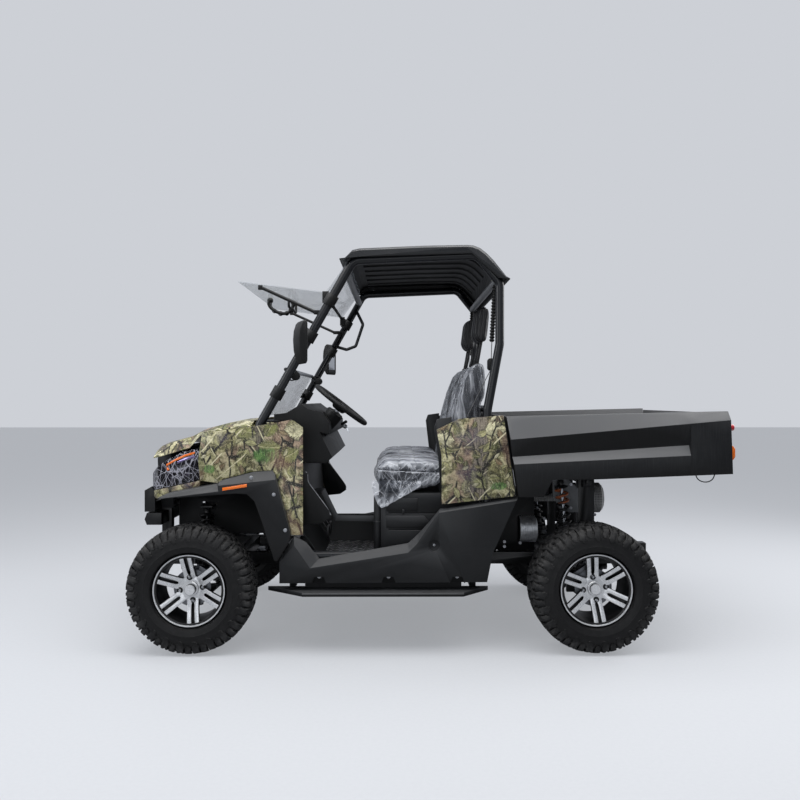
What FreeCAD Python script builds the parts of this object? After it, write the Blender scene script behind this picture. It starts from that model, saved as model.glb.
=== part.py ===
import FreeCAD, Part
import math
import os

# Side by side utility vehicle. Millimetres; +X forward, +Y to the vehicle's left, +Z up.
# Tables give x from the cab station, which is midway between the axles. export() moves every
# piece so that the origin is on the ground under the middle of the whole vehicle.

V = FreeCAD.Vector
ALONG_Y = V(0, 1, 0)
ALONG_Z = V(0, 0, 1)

# Driving dimensions
wheelbase = 1900.0
width_over_tyres = 1450.0
tyre_radius = 302.0
front_tyre_width = 205.0
rear_tyre_width = 250.0
rim_radius = 168.5
bead_radius = 152.0
front_overhang = 301.0
rear_overhang = 662.0
running_gap = 0.3

front_axle_x = wheelbase / 2
rear_axle_x = -wheelbase / 2
hub_z = tyre_radius
nose_x = front_axle_x + front_overhang
tail_x = rear_axle_x - rear_overhang
origin_x = (nose_x + tail_x) / 2

front_wheel_y = width_over_tyres / 2 - front_tyre_width / 2
rear_wheel_y = width_over_tyres / 2 - rear_tyre_width / 2

# Frame
rail_y = 250.0
rail_width = 50.0
rail_low_z = 340.0
rail_high_z = 400.0
rail_front_x = 1150.0
rail_rear_x = -1300.0
skid_thickness = 4.0

# Cage of bent tube
cage_y = 620.0
cage_tube_radius = 21.0
cage_bend = 60.0
sill_z = 452.0

# Body panels
panel_thickness = 4.0
flare_y = 700.0
skirt_y = 680.0
quarter_y = 664.0

# Rear shock, from its foot on the lower arm to its mount on the tower
rear_shock_low = (-892.0, 408.0, 268.0)
rear_shock_high = (-842.0, 398.0, 790.0)
tower_y = 350.0

# Steering
kingpin_y = 515.0
spindle_radius = 17.0
steering_arm = 150.0
arm_inset = 45.0
tie_rod_z = 284.0
wheel_tilt_deg = 37.8
steering_wheel_radius = 165.0
driver_y = 330.0
steering_wheel_x = 267.0
steering_wheel_z = 1165.0

# Bed
bed_pivot_x = -1002.0
bed_pivot_z = 770.0
bed_pin_radius = 14.0
gate_pivot_x = -1572.0
gate_pivot_z = 862.0
bed_outer_y = 700.0
bed_wall_thickness = 6.0
bed_inner_y = 620.0
bed_floor_z = 868.0

# Mirrors, turned towards the driver
mirror_turn_deg = 12.0

# Hood
hood_pivot_x = 668.0
hood_pivot_z = 1074.0

os.makedirs("parts", exist_ok=True)


def box(x_low, x_high, y_low, y_high, z_low, z_high):
    return Part.makeBox(x_high - x_low, y_high - y_low, z_high - z_low, V(x_low, y_low, z_low))


def face_of(points):
    return Part.Face(Part.makePolygon(points + [points[0]]))


def prism_xz(points, y_low, y_high):
    face = face_of([V(x, y_low, z) for x, z in points])
    return face.extrude(V(0, y_high - y_low, 0))


def prism_xy(points, z_low, z_high):
    face = face_of([V(x, y, z_low) for x, y in points])
    return face.extrude(V(0, 0, z_high - z_low))


def prism_yz(points, x_low, x_high):
    face = face_of([V(x_low, y, z) for y, z in points])
    return face.extrude(V(x_high - x_low, 0, 0))


def cylinder(radius, start, end):
    axis = end - start
    return Part.makeCylinder(radius, axis.Length, start, axis)


def cylinder_y(radius, x, z, y_low, y_high):
    return Part.makeCylinder(radius, y_high - y_low, V(x, y_low, z), ALONG_Y)


def mirrored(shape):
    return shape.mirror(V(0, 0, 0), ALONG_Y)


def both_sides(shape):
    return Part.makeCompound([shape, mirrored(shape)])


def joined(shapes):
    first, rest = shapes[0], shapes[1:]
    return first.multiFuse(rest).removeSplitter() if rest else first


def disc(centre, direction, radius):
    return Part.Face(Part.Wire([Part.Circle(centre, direction, radius).toShape()]))


def rod(points, radius, bend):
    """A round bar along straight runs with a round bend of one radius at each corner."""
    pieces = []
    start = points[0]
    for before, corner, after in zip(points, points[1:], points[2:]):
        into = (corner - before).normalize()
        out = (after - corner).normalize()
        turn = into.getAngle(out)
        if turn < 0.02:
            continue
        setback = bend * math.tan(turn / 2)
        arc_start = corner - into * setback
        arc_end = corner + out * setback
        axis = into.cross(out).normalize()
        centre = arc_start + axis.cross(into) * bend
        pieces.append(disc(start, into, radius).extrude(arc_start - start))
        pieces.append(disc(arc_start, into, radius).revolve(centre, axis, math.degrees(turn)))
        start = arc_end
    last = points[-1]
    pieces.append(disc(start, (last - start).normalize(), radius).extrude(last - start))
    return joined(pieces)


def revolved_y(profile, x, y, z):
    """Turns a closed (radius, along) profile about a line along Y through x, y, z."""
    face = face_of([V(x + r, y + along, z) for r, along in profile])
    return face.revolve(V(x, y, z), ALONG_Y, 360)


def export(name, shape):
    moved = shape.copy()
    moved.translate(V(-origin_x, 0, 0))
    moved.exportStep("parts/" + name + ".step")
    print(name, len(moved.Solids), round(moved.Volume / 1e6, 3), moved.isValid())


def export_pair(name, left):
    export(name + "_left", left)
    export(name + "_right", mirrored(left))


# Wheels

carcass_sides = 24
lugs_per_side = 16
lug_height = 13.0
lug_width = 46.0


def ring(radius, x, y):
    """Corners of a regular polygon about a wheel's axis, with its flats at the radius."""
    corner = radius / math.cos(math.pi / carcass_sides)
    points = []
    for n in range(carcass_sides):
        angle = 2 * math.pi * n / carcass_sides
        points.append(V(x + corner * math.cos(angle), y, hub_z + corner * math.sin(angle)))
    return points


def banded(profile, x, y):
    """A closed (radius, along) profile carried round a wheel's axis in flat facets."""
    rings = [ring(r, x, y + along) for r, along in profile]
    faces = []
    for low, high in zip(rings, rings[1:] + rings[:1]):
        for n in range(carcass_sides):
            m = (n + 1) % carcass_sides
            faces.append(face_of([low[n], low[m], high[m], high[n]]))
    solid = Part.Solid(Part.Shell(faces))
    return solid if solid.Volume > 0 else solid.reversed()


def tyre(half_width, rim_half_width, x, y):
    """A carcass of flat bands with two staggered rows of lugs that wrap over the shoulders."""
    seat = rim_half_width - 14 - running_gap
    base = tyre_radius - lug_height
    lug_top = math.sqrt(tyre_radius ** 2 - lug_width ** 2 / 4)
    side = [
        # radius, distance from the middle
        (bead_radius + running_gap, seat),
        (rim_radius + 4, seat + 5),
        (212, half_width - 4),
        (262, half_width - 4),
        (base - 2, half_width - 22),
    ]
    carcass = banded(side + [(r, -along) for r, along in reversed(side)], x, y)
    profile = [
        # distance from the middle, radius
        (6, base - 8), (8, lug_top), (half_width - 24, lug_top),
        (half_width, 266), (half_width - 8, 258), (half_width - 30, base - 8),
    ]
    lugs = []
    for s in (-1, 1):
        face = face_of([V(x - lug_width / 2, y + s * along, hub_z + r) for along, r in profile])
        lug = face.extrude(V(lug_width, 0, 0))
        for n in range(lugs_per_side):
            turned = lug.copy()
            turned.rotate(V(x, y, hub_z), ALONG_Y, 360.0 / lugs_per_side * (n + 0.25 * s))
            lugs.append(turned)
    return carcass.multiFuse(lugs)


spoke_pairs = 6
spoke_width = 17.0
spoke_offset = 19.5
spoke_depth = 16.0
hub_disc_radius = 62.0
hub_bore_depth = 46.0
stud_circle_radius = 55.0


def rim(rim_half_width, x, y, side):
    """One alloy wheel; side is 1 on the left and -1 on the right."""
    w = rim_half_width
    barrel = revolved_y([
        (146, w), (rim_radius, w), (rim_radius, w - 9), (bead_radius, w - 14),
        (bead_radius, -w + 14), (rim_radius, -w + 9), (rim_radius, -w), (146, -w),
    ], x, y, hub_z)
    face_out = w - 6
    face_in = face_out - spoke_depth
    pieces = [barrel]
    pieces.append(cylinder_y(hub_disc_radius, x, hub_z, y + face_in, y + face_out))
    pieces.append(cylinder_y(34, x, hub_z, y + face_out - 1, y + face_out + 8))
    pieces.append(cylinder_y(44, x, hub_z, y + face_in - hub_bore_depth, y + face_in + 1))
    for n in range(spoke_pairs):
        for offset in (-spoke_offset, spoke_offset):
            bar = box(x + 40, x + 148, y + face_in, y + face_out,
                      hub_z + offset - spoke_width / 2, hub_z + offset + spoke_width / 2)
            bar.rotate(V(x, y, hub_z), ALONG_Y, 360.0 / spoke_pairs * n + 97)
            pieces.append(bar)
    wheel = joined(pieces)
    bore = cylinder_y(spindle_radius + running_gap, x, hub_z,
                      y + face_in - hub_bore_depth - 1, y + face_in)
    wheel = wheel.cut(bore)
    return wheel if side > 0 else wheel.mirror(V(x, y, hub_z), ALONG_Y)


def brake_disc(x, y):
    return cylinder_y(88, x, hub_z, y, y + 5).cut(
        cylinder_y(spindle_radius + running_gap, x, hub_z, y - 1, y + 6))


def wheel(x, y, rim_half_width):
    """A rim with the brake disc that turns with it."""
    inner = y + rim_half_width - 6 - spoke_depth - hub_bore_depth
    return Part.makeCompound([rim(rim_half_width, x, y, 1), brake_disc(x, inner - 5.5)])


def wheels():
    table = [
        # name, axle x, wheel y, tyre half width, rim half width
        ("front", front_axle_x, front_wheel_y, front_tyre_width / 2, 82.0),
        ("rear", rear_axle_x, rear_wheel_y, rear_tyre_width / 2, 100.0),
    ]
    for name, x, y, half, rim_half in table:
        export_pair("tyre_" + name, tyre(half, rim_half, x, y))
        export_pair("wheel_" + name, wheel(x, y, rim_half))


def front_knuckle():
    """Upright, stub axle, steering arm and brake caliper of the left front wheel."""
    x = front_axle_x
    disc_y = front_wheel_y + 82.0 - 6 - spoke_depth - hub_bore_depth - 5
    plate = prism_xz([(x - 30, 238), (x + 30, 238), (x + 40, 302), (x + 26, 380), (x - 26, 380),
                      (x - 40, 302)], kingpin_y - 14, kingpin_y + 14)
    studs = Part.makeCylinder(9, 165.9, V(x, kingpin_y, 226.8), ALONG_Z)
    neck = cylinder_y(36, x, hub_z, kingpin_y, disc_y - 1)
    spindle = cylinder_y(spindle_radius, x, hub_z, kingpin_y,
                         front_wheel_y + 82.0 - 6 - spoke_depth - 1)
    arm = prism_xy([(x - 20, kingpin_y + 4), (x - 20, kingpin_y - 14),
                    (x - steering_arm, kingpin_y - arm_inset - 14),
                    (x - steering_arm - 12, kingpin_y - arm_inset),
                    (x - steering_arm, kingpin_y - arm_inset + 12)], tie_rod_z - 6, tie_rod_z + 6)
    caliper = prism_xz([(x - 60, hub_z + 30), (x - 20, hub_z + 62), (x - 34, hub_z + 104),
                        (x - 92, hub_z + 66)], disc_y - 22, disc_y - 1)
    lug = box(x - 44, x - 18, kingpin_y, disc_y - 10, hub_z + 36, hub_z + 66)
    return joined([plate, studs, neck, spindle, arm, caliper, lug])


def a_arm(x, inner_y, inner_z, outer_y, outer_z, half_span, radius):
    """A wishbone: two legs from the frame to one ball joint."""
    tip = V(x, outer_y, outer_z)
    legs = [cylinder(radius, V(x + s * half_span, inner_y, inner_z), tip) for s in (-1, 1)]
    bushes = [Part.makeCylinder(radius + 6, 44, V(x + s * half_span - 22, inner_y, inner_z), V(1, 0, 0))
              for s in (-1, 1)]
    ball = Part.makeCylinder(radius + 10, 33.5, tip - V(0, 0, 15), ALONG_Z)
    return joined(legs + bushes + [ball])


def shock(low, high):
    """Damper with a coil spring drawn as a ridged sleeve."""
    axis = high - low
    length = axis.Length
    ridges = 7
    profile = [(0, 0), (12, 0), (12, 50)]
    span = (length - 90) / ridges
    for n in range(ridges):
        at = 50 + span * n
        profile += [(26, at), (35, at + span / 2)]
    profile += [(26, length - 40), (18, length - 40), (18, length), (0, length)]
    face = face_of([V(r, 0, along) for r, along in profile])
    body = face.revolve(V(0, 0, 0), ALONG_Z, 360)
    body.Placement = FreeCAD.Placement(low, FreeCAD.Rotation(ALONG_Z, axis))
    return body


def seated_shock(low, high):
    """A shock whose tilted ends stay clear of the level faces that carry them."""
    low, high = V(*low), V(*high)
    lean = math.sin((high - low).getAngle(ALONG_Z))
    return shock(low + V(0, 0, running_gap + 12 * lean), high - V(0, 0, running_gap + 18 * lean))


def suspension():
    front_low = a_arm(front_axle_x, 215, 318, kingpin_y, 208, 140, 13)
    front_foot = box(front_axle_x - 66, front_axle_x + 66, 396, 420, 246, 262)
    front_low = joined([front_low, front_foot])
    front_high = a_arm(front_axle_x, 250, 470, kingpin_y, 408, 100, 11)
    export("front_arms", Part.makeCompound([both_sides(front_low), both_sides(front_high)]))
    rear_low = a_arm(rear_axle_x, 215, 318, 440, 208, 150, 14)
    rear_foot = box(rear_axle_x - 30, rear_shock_low[0] + 22, 396, 420, 228, rear_shock_low[2])
    rear_low = joined([rear_low, rear_foot])
    rear_high = a_arm(rear_axle_x, 215, 450, 440, 408, 110, 12)
    export("rear_arms", Part.makeCompound([both_sides(rear_low), both_sides(rear_high)]))
    front_shock = seated_shock((front_axle_x, 408, 262), (front_axle_x, 330, 640))
    rear_shock = seated_shock(rear_shock_low, rear_shock_high)
    export("shocks", Part.makeCompound([both_sides(front_shock), both_sides(rear_shock)]))


def rear_hub():
    x = rear_axle_x
    disc_y = rear_wheel_y + 100.0 - 6 - spoke_depth - hub_bore_depth - 5
    plate = prism_xz([(x - 34, 240), (x + 34, 240), (x + 44, 302), (x + 30, 378), (x - 30, 378),
                      (x - 44, 302)], 426, 454)
    studs = Part.makeCylinder(9, 165.9, V(x, 440, 226.8), ALONG_Z)
    neck = cylinder_y(38, x, hub_z, 440, disc_y - 1)
    spindle = cylinder_y(spindle_radius, x, hub_z, 440,
                         rear_wheel_y + 100.0 - 6 - spoke_depth - 1)
    caliper = prism_xz([(x + 60, hub_z + 30), (x + 20, hub_z + 62), (x + 34, hub_z + 104),
                        (x + 92, hub_z + 66)], disc_y - 22, disc_y - 1)
    lug = box(x + 18, x + 44, 450, disc_y - 10, hub_z + 36, hub_z + 66)
    return joined([plate, studs, neck, spindle, caliper, lug])


def drive_shafts():
    shaft = cylinder_y(14, rear_axle_x, hub_z, 120, 426)
    boot_in = cylinder_y(34, rear_axle_x, hub_z, 120, 180)
    boot_out = cylinder_y(34, rear_axle_x, hub_z, 376, 426)
    return both_sides(joined([shaft, boot_in, boot_out]))


# Frame

def frame():
    pieces = []
    for s in (-1, 1):
        y = s * rail_y
        pieces.append(box(rail_rear_x, rail_front_x, y - rail_width / 2, y + rail_width / 2,
                          rail_low_z, rail_high_z))
    for x in (1100, 800, 560, 60, -520, -830, -1100, -1240):
        pieces.append(box(x - 20, x + 20, -rail_y, rail_y, rail_low_z, rail_high_z))
    return joined(pieces)


def uprights():
    """Towers that carry the shocks."""
    pieces = []
    for s in (-1, 1):
        y = s * rail_y
        pieces.append(box(front_axle_x - 50, front_axle_x + 50, y - 20, y + 20, rail_high_z, 652))
        pieces.append(box(front_axle_x - 30, front_axle_x + 30, min(y, s * 362), max(y, s * 362), 640, 652))
        pieces.append(box(-942, -902, y - 25, y + 25, rail_high_z, 730))
        pieces.append(box(-942, -922, min(y, s * tower_y), max(y, s * tower_y), 640, 690))
        plate = prism_xz([(-942, 617), (-860, 617), (-812, 700), (-812, 802), (-872, 802), (-942, 740)],
                         tower_y - 4, tower_y + 4)
        ear = box(-872, -812, tower_y, rear_shock_high[1] + 24, rear_shock_high[2], rear_shock_high[2] + 12)
        pieces += [plate.fuse(ear)] if s > 0 else [mirrored(plate.fuse(ear))]
    pieces.append(box(-942, -922, -rail_y, rail_y, 700, 730))
    return pieces


# Cage and roof

pillar_foot = (629.0, 1081.0)
pillar_head = (190.0, 1854.0)


def pillar_x(z):
    """X of the front pillar's centre line at a height."""
    share = (z - pillar_foot[1]) / (pillar_head[1] - pillar_foot[1])
    return pillar_foot[0] + share * (pillar_head[0] - pillar_foot[0])


def roll_cage():
    side = rod([
        V(505, cage_y, sill_z), V(640, cage_y, 1062), V(190, cage_y, 1854), V(-400, cage_y, 1880),
        V(-507, cage_y, 1748), V(-507, cage_y, 1457), V(-449, cage_y, 1145), V(-440, cage_y, sill_z),
    ], cage_tube_radius, cage_bend)
    sill = cylinder(cage_tube_radius, V(515, cage_y, sill_z), V(-450, cage_y, sill_z))
    cross = [
        # x, z of tubes that run across
        (pillar_x(1800), 1800), (-494, 1762), (-449, 1145), (-440, 700), (612, 930),
    ]
    pieces = [side, mirrored(side), sill, mirrored(sill)]
    for x, z in cross:
        pieces.append(cylinder(cage_tube_radius - 3, V(x, -cage_y, z), V(x, cage_y, z)))
    handle = rod([V(pillar_x(1762), -cage_y, 1762), V(196, -cage_y, 1668), V(242, -cage_y, 1530),
                  V(300, -cage_y, 1508), V(pillar_x(1530), -cage_y, 1530)], 9.5, 20)
    for s in (-1, 1):
        ear = prism_xz([(594, 930), (630, 930), (hood_pivot_x + 9, hood_pivot_z),
                        (hood_pivot_x + 7, hood_pivot_z + 7), (hood_pivot_x - 7, hood_pivot_z + 7)], -6, 6)
        ear.translate(V(0, s * 278, 0))
        pin = cylinder_y(6, hood_pivot_x, hood_pivot_z, min(s * 275, s * 316), max(s * 275, s * 316))
        pieces += [ear, pin]
    return joined(pieces + [handle])


roof_top = [(253, 1859), (227, 1863), (193, 1899), (159, 1907), (-146, 1920), (-350, 1924), (-382, 1921),
            (-412, 1909), (-444, 1884), (-476, 1851), (-536, 1776), (-551, 1768)]
roof_lip = [(-553, 1760), (-497, 1766), (-371, 1881), (164, 1864), (253, 1853)]
roof_edge = [(253, 1857), (227, 1860), (196, 1888), (158, 1895), (-146, 1908), (-346, 1912), (-375, 1909),
             (-404, 1898), (-435, 1874), (-466, 1842), (-530, 1771), (-549, 1765)]
roof_y = 660.0
roof_edge_width = 18.0
roof_ribs = (-480, -320, -160, 0, 160, 320, 480)


def roof_panel():
    wires = []
    for y, line in ((-roof_y, roof_edge), (-roof_y + roof_edge_width, roof_top),
                    (roof_y - roof_edge_width, roof_top), (roof_y, roof_edge)):
        ring = [V(x, y, z) for x, z in line + roof_lip]
        wires.append(Part.makePolygon(ring + ring[:1]))
    outer = Part.makeLoft(wires, True, True)
    lowered = [(x, z - panel_thickness) for x, z in roof_top]
    hollow = prism_xz(lowered[1:-1] + [(-560, 1700), (200, 1700)], -roof_y + roof_edge_width,
                      roof_y - roof_edge_width)
    shell = outer.cut(hollow)
    ribs = []
    low = [(x, z - 12) for x, z in reversed(roof_top[3:10])]
    for y in roof_ribs:
        ribs.append(prism_xz(roof_top[3:10] + low, y - 14, y + 14))
    pads = []
    for x in (140, -340):
        tube_top = 1854 + (190 - x) * 26 / 590 + cage_tube_radius
        for s in (-1, 1):
            pads.append(box(x - 25, x + 25, s * cage_y - 12, s * cage_y + 12, tube_top + 1.5, 1908))
    return joined([shell] + ribs + pads)


# Windshield

glass_offset = 30.0


def pane_point(z):
    """A point of the windshield's plane, ahead of the pillars."""
    return (pillar_x(z) + glass_offset * 1.13, z)


def pane(start, end, thickness, y_low, y_high, lift=0.0):
    """A flat strip from start to end; it lies behind or above the line, by the lift."""
    run = math.hypot(end[0] - start[0], end[1] - start[1])
    nx = -(end[1] - start[1]) / run
    nz = (end[0] - start[0]) / run
    near = [(x + nx * lift, z + nz * lift) for x, z in (start, end)]
    far = [(x + nx * thickness, z + nz * thickness) for x, z in reversed(near)]
    return prism_xz(near + far, y_low, y_high)


pane_hinge = (333.0, 1705.0)
pane_edge = (745.0, 1757.0)
pane_half = 580.0


glass_thickness = 5.0
pane_low_z = 1112.0
pane_high_z = 1330.0
handle_x = 560.0
strut_x = 640.0


def flip_z(x):
    """Height of the raised pane's underside."""
    start = pane_hinge[0] + 8, pane_hinge[1] + 2
    return start[1] + (x - start[0]) * (pane_edge[1] - start[1]) / (pane_edge[0] - start[0])


def windshield():
    lower = pane(pane_point(pane_low_z), pane_point(pane_high_z), glass_thickness, -pane_half, pane_half)
    top = pane((326, 1707.5), (216, 1862), glass_thickness, -pane_half, pane_half)
    flip = pane((pane_hinge[0] + 8, pane_hinge[1] + 2), pane_edge, glass_thickness, -pane_half, pane_half)
    return Part.makeCompound([lower, top, flip])


def windshield_fittings():
    hinge = joined([cylinder_y(6, pane_hinge[0], pane_hinge[1], -pane_half - 14, pane_half + 14),
                    box(322, 338, -pane_half, pane_half, 1698, 1704)])
    end_z = flip_z(handle_x) - 1.2
    handle = rod([V(handle_x, -150, end_z), V(handle_x, -150, 1690), V(handle_x, 150, 1690),
                  V(handle_x, 150, end_z)], 7, 14)
    pieces = [handle]
    for z in (1664, 1494, 1223):
        clamp = cylinder(cage_tube_radius + 9, V(pillar_x(z + 24), cage_y, z + 24),
                         V(pillar_x(z - 24), cage_y, z - 24))
        if z == 1664:
            clamp = clamp.fuse(box(pane_hinge[0] - 24, pane_hinge[0] + 6, pane_half + 2, pane_half + 14,
                                   z - 6, pane_hinge[1] + 6))
        if z == 1223:
            tab = pane(pane_point(z - 14), pane_point(z + 14), 8, pane_half - 30, cage_y - 18,
                       glass_thickness + running_gap)
            clamp = clamp.fuse(tab)
        clamp = clamp.cut(cylinder(cage_tube_radius + running_gap, V(pillar_x(z + 90), cage_y, z + 90),
                                   V(pillar_x(z - 90), cage_y, z - 90)))
        pieces += [clamp, mirrored(clamp)]
    strut = rod([V(strut_x, 566, 1734), V(372, 566, 1612)], 8, 10)
    head = box(strut_x - 10, strut_x + 10, 556, 576, 1722, flip_z(strut_x - 10) - running_gap)
    foot = box(pillar_x(1612) + 12, 380, 556, 592, 1603, 1621)
    foot = foot.fuse(box(pillar_x(1612) - 16, pillar_x(1612) + 14, 584, cage_y - cage_tube_radius - 0.4,
                         1603, 1621))
    strut = joined([strut, head, foot])
    pieces += [strut, mirrored(strut)]
    ex, ez = pane_point(pane_high_z)
    pieces.append(cylinder_y(9, ex - 6.8, ez + 6.9, -pane_half - 10, pane_half + 10))
    hinge_ends = joined([hinge] + pieces[1:3])
    return Part.makeCompound([hinge_ends, pieces[0]] + pieces[3:])


# Front body

side_outline = [(425, 553), (425, 1060), (465, 1090), (482, 1097), (596, 1075), (731, 1057), (916, 1032),
                (924, 980), (937, 901), (926, 803), (837, 796), (818, 800), (811, 814), (660, 853),
                (573, 858), (559, 837),
                (486, 571), (479, 553)]
side_plan = [(400, 652), (620, 652), (760, 636), (870, 606), (960, 572)]


def front_side_panel():
    inner = [(x, y - panel_thickness) for x, y in reversed(side_plan)]
    slab = prism_xy(side_plan + inner, 500, 1120)
    seam = box(467, 471, 652 - panel_thickness / 2, 660, 560, 1100)
    return prism_xz(side_outline, 500, 680).common(slab).cut(seam)


flare_outline = [(1098, 734), (1059, 752), (816, 798), (809, 812), (660, 851), (567, 858),
                 (553, 841), (481, 577), (481, 537), (538, 441), (553, 441), (609, 619),
                 (645, 719), (681, 752), (731, 755), (895, 744), (1077, 730)]


flare_lip = [(1098, 734), (1059, 752), (816, 798), (809, 812), (700, 840)]


flare_creases = [
    # two points of each line where the outer face turns inward at 45 degrees
    ((814, 791), (540, 820)), ((1120, 727), (813, 764)),
]


def fender_flare():
    low = [(x - 1, z - 6) for x, z in reversed(flare_lip)]
    lip = prism_xz([(x, z - 0.5) for x, z in flare_lip] + low, 572, 654)
    slopes = [slope(start, end, flare_y) for start, end in flare_creases]
    return moulded(flare_outline, 652 + running_gap, flare_y, 5, slopes).fuse(lip)


def slope(start, end, y):
    """A wedge that takes the corner off a face at y, above the line from start to end."""
    run = math.hypot(end[0] - start[0], end[1] - start[1])
    up_x = (end[1] - start[1]) / run
    up_z = -(end[0] - start[0]) / run
    corners = [(-3, y + 3), (90, y - 90), (90, y + 3)]
    face = face_of([V(start[0] + up_x * a, along, start[1] + up_z * a) for a, along in corners])
    return face.extrude(V(end[0] - start[0], 0, end[1] - start[1]))


def moulded(outline, y_in, y_out, thickness, slopes=()):
    """A panel with edges turned inward, open on its inner side."""
    solid = prism_xz(outline, y_in, y_out)
    wire = Part.makePolygon([V(x, y_in - 1, z) for x, z in outline + outline[:1]])
    inner = Part.Face(wire).makeOffset2D(-thickness)
    hollow = inner.extrude(V(0, y_out - thickness - y_in + 1, 0))
    for wedge in slopes:
        solid = solid.cut(wedge)
        lowered = wedge.copy()
        lowered.translate(V(0, -thickness * 1.4, 0))
        hollow = hollow.cut(lowered)
    return solid.cut(hollow)


def inset(points, distance):
    """A polygon's corners moved inward, so that each edge shifts by the distance."""
    area = sum(a[0] * b[1] - b[0] * a[1] for a, b in zip(points, points[1:] + points[:1]))
    turn = 1 if area > 0 else -1
    moved = []
    for before, here, after in zip(points[-1:] + points[:-1], points, points[1:] + points[:1]):
        lengths = math.dist(before, here), math.dist(here, after)
        ax, az = (here[0] - before[0]) / lengths[0], (here[1] - before[1]) / lengths[0]
        bx, bz = (after[0] - here[0]) / lengths[1], (after[1] - here[1]) / lengths[1]
        nx, nz = -(az + bz) * turn, (ax + bx) * turn
        share = distance / (1 + ax * bx + az * bz)
        moved.append((here[0] + nx * share, here[1] + nz * share))
    return moved


def drafted(outline, face_outline, y_in, y_mid, y_out, thickness):
    """A moulded panel whose rim slopes from the outline at y_mid to a smaller face at y_out."""
    shapes = []
    for shrink, first, last in ((0, 0, 0), (thickness, 1, thickness)):
        wires = []
        for y, line in ((y_in - first, outline), (y_mid - last / 2, outline), (y_out - last, face_outline)):
            ring = [V(x, y, z) for x, z in (inset(line, shrink) if shrink else line)]
            wires.append(Part.makePolygon(ring + ring[:1]))
        shapes.append(Part.makeLoft(wires, True, True))
    return shapes[0].cut(shapes[1])


hood_sections = [
    # x, crown z, shoulder z, edge z, edge y
    (672, 1097, 1093, 1070, 630),
    (794, 1088, 1080, 1053, 612),
    (905, 1056, 1052, 1038, 578),
    (930, 1045, 1042, 1020, 570),
    (983, 1021, 1014, 962, 556),
    (1149, 978, 962, 914, 510),
    (1180, 950, 938, 908, 486),
]


def hood_solid(drop, inset):
    wires = []
    for x, crown, shoulder, edge, y in hood_sections:
        half = [(0, crown - drop), (300, crown - 4 - drop), (0.86 * y, shoulder - drop), (y - inset, edge)]
        base = [(y - inset, edge - 4 - drop * 6)]
        ring = half + base
        ring = ring + [(-a, z) for a, z in reversed(ring[1:])]
        wires.append(Part.makePolygon([V(x, a, z) for a, z in ring + ring[:1]]))
    return Part.makeLoft(wires, True, True)


def hood():
    shell = hood_solid(0, 0).cut(hood_solid(panel_thickness, panel_thickness))
    arms = []
    for s in (-1, 1):
        arm = prism_xz([(hood_pivot_x - 12, hood_pivot_z - 12), (hood_pivot_x + 110, hood_pivot_z - 12),
                        (hood_pivot_x + 110, 1083), (hood_pivot_x + 80, 1085),
                        (hood_pivot_x + 60, hood_pivot_z + 8), (hood_pivot_x - 12, hood_pivot_z + 8)],
                       -12, 12)
        arm.translate(V(0, s * 300, 0))
        hole = cylinder_y(6 + running_gap, hood_pivot_x, hood_pivot_z, -400, 400)
        arms.append(arm.cut(hole))
    return joined([shell] + arms)


def headlamp():
    outline = [(1196, 827), (1196, 760), (1180, 746), (937, 802), (930, 860), (936, 958), (1024, 938), (1099, 900),
               (1160, 860)]
    plan = [(925, 345), (1197, 345), (1197, 440), (1160, 498), (925, 571)]
    return prism_xz(outline, 345, 575).common(prism_xy(plan, 700, 950))


nose_half = 345 - running_gap


def nose():
    shell = prism_xz([(1168, 936), (1186, 930), (1202, 892), (1199, 780), (1180, 640), (1120, 640), (1120, 860),
                      (1140, 936)], -nose_half, nose_half)
    hollow = prism_xz([(1164, 928), (1180, 923), (1194, 890), (1191, 780), (1172, 650), (1100, 650), (1100, 928)],
                      -nose_half + 10, nose_half - 10)
    shell = shell.cut(hollow)
    slots = []
    for n in range(5):
        z = 665 + n * 44
        slots.append(box(1160, 1210, -290, -20, z, z + 24))
        slots.append(box(1160, 1210, 20, 290, z, z + 24))
    shell = shell.cut(Part.makeCompound(slots))
    return joined([shell, brow(), mirrored(brow())])


def brow():
    """The dark trim between a headlamp and the hood."""
    outline = [(941, 962), (941, 988), (983, 952), (1056, 930), (1149, 904), (1178, 899), (1202, 890), (1202, 831),
               (1190, 846), (1160, 866), (1099, 906), (1024, 943)]
    plan = [(930, 335), (1202, 335), (1202, 452), (1160, 504), (930, 567)]
    return prism_xz(outline, 335, 570).common(prism_xy(plan, 800, 1000))


def cheek():
    """The printed strip between a headlamp and the flare."""
    outline = [(1188, 738), (1180, 744), (937, 800), (930, 801.5), (930, 765), (1059, 740.5), (1098, 724.5),
               (1117, 720.5), (1124, 713), (1165, 706), (1188, 716)]
    plan = [(925, 345), (1197, 345), (1197, 440), (1160, 498), (925, 571)]
    return prism_xz(outline, 345, 575).common(prism_xy(plan, 600, 900))


def inner_fender():
    line = [(575, 600), (602, 722), (690, 778), (816, 784), (1059, 738), (1098, 722), (1115.5, 718)]
    low = [(x + 4, z - 5) for x, z in reversed(line)]
    arch = prism_xz(line + low, 270.3, 652)
    wall = prism_xz([(650, 500), (650, 750), (690, 775), (816, 781), (1059, 735), (1098, 719), (1110, 716),
                     (1110, 500)], 276, 280)
    wall = wall.cut(box(912, 988, 270, 290, 626, 664))
    return arch.fuse(wall)


def front_bumper():
    upper = prism_xz([(1198, 628), (1251, 628), (1251, 735), (1216, 755), (1198, 730)], -400, 400)
    lower = prism_xz([(1166, 562), (1240, 562), (1251, 590), (1240, 622), (1166, 622)], -400, 400)
    posts = []
    for s in (-1, 1):
        posts.append(box(1150, 1200, s * rail_y - 25, s * rail_y + 25, rail_low_z, 640 - running_gap))
    return joined([upper, lower] + posts)


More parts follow.
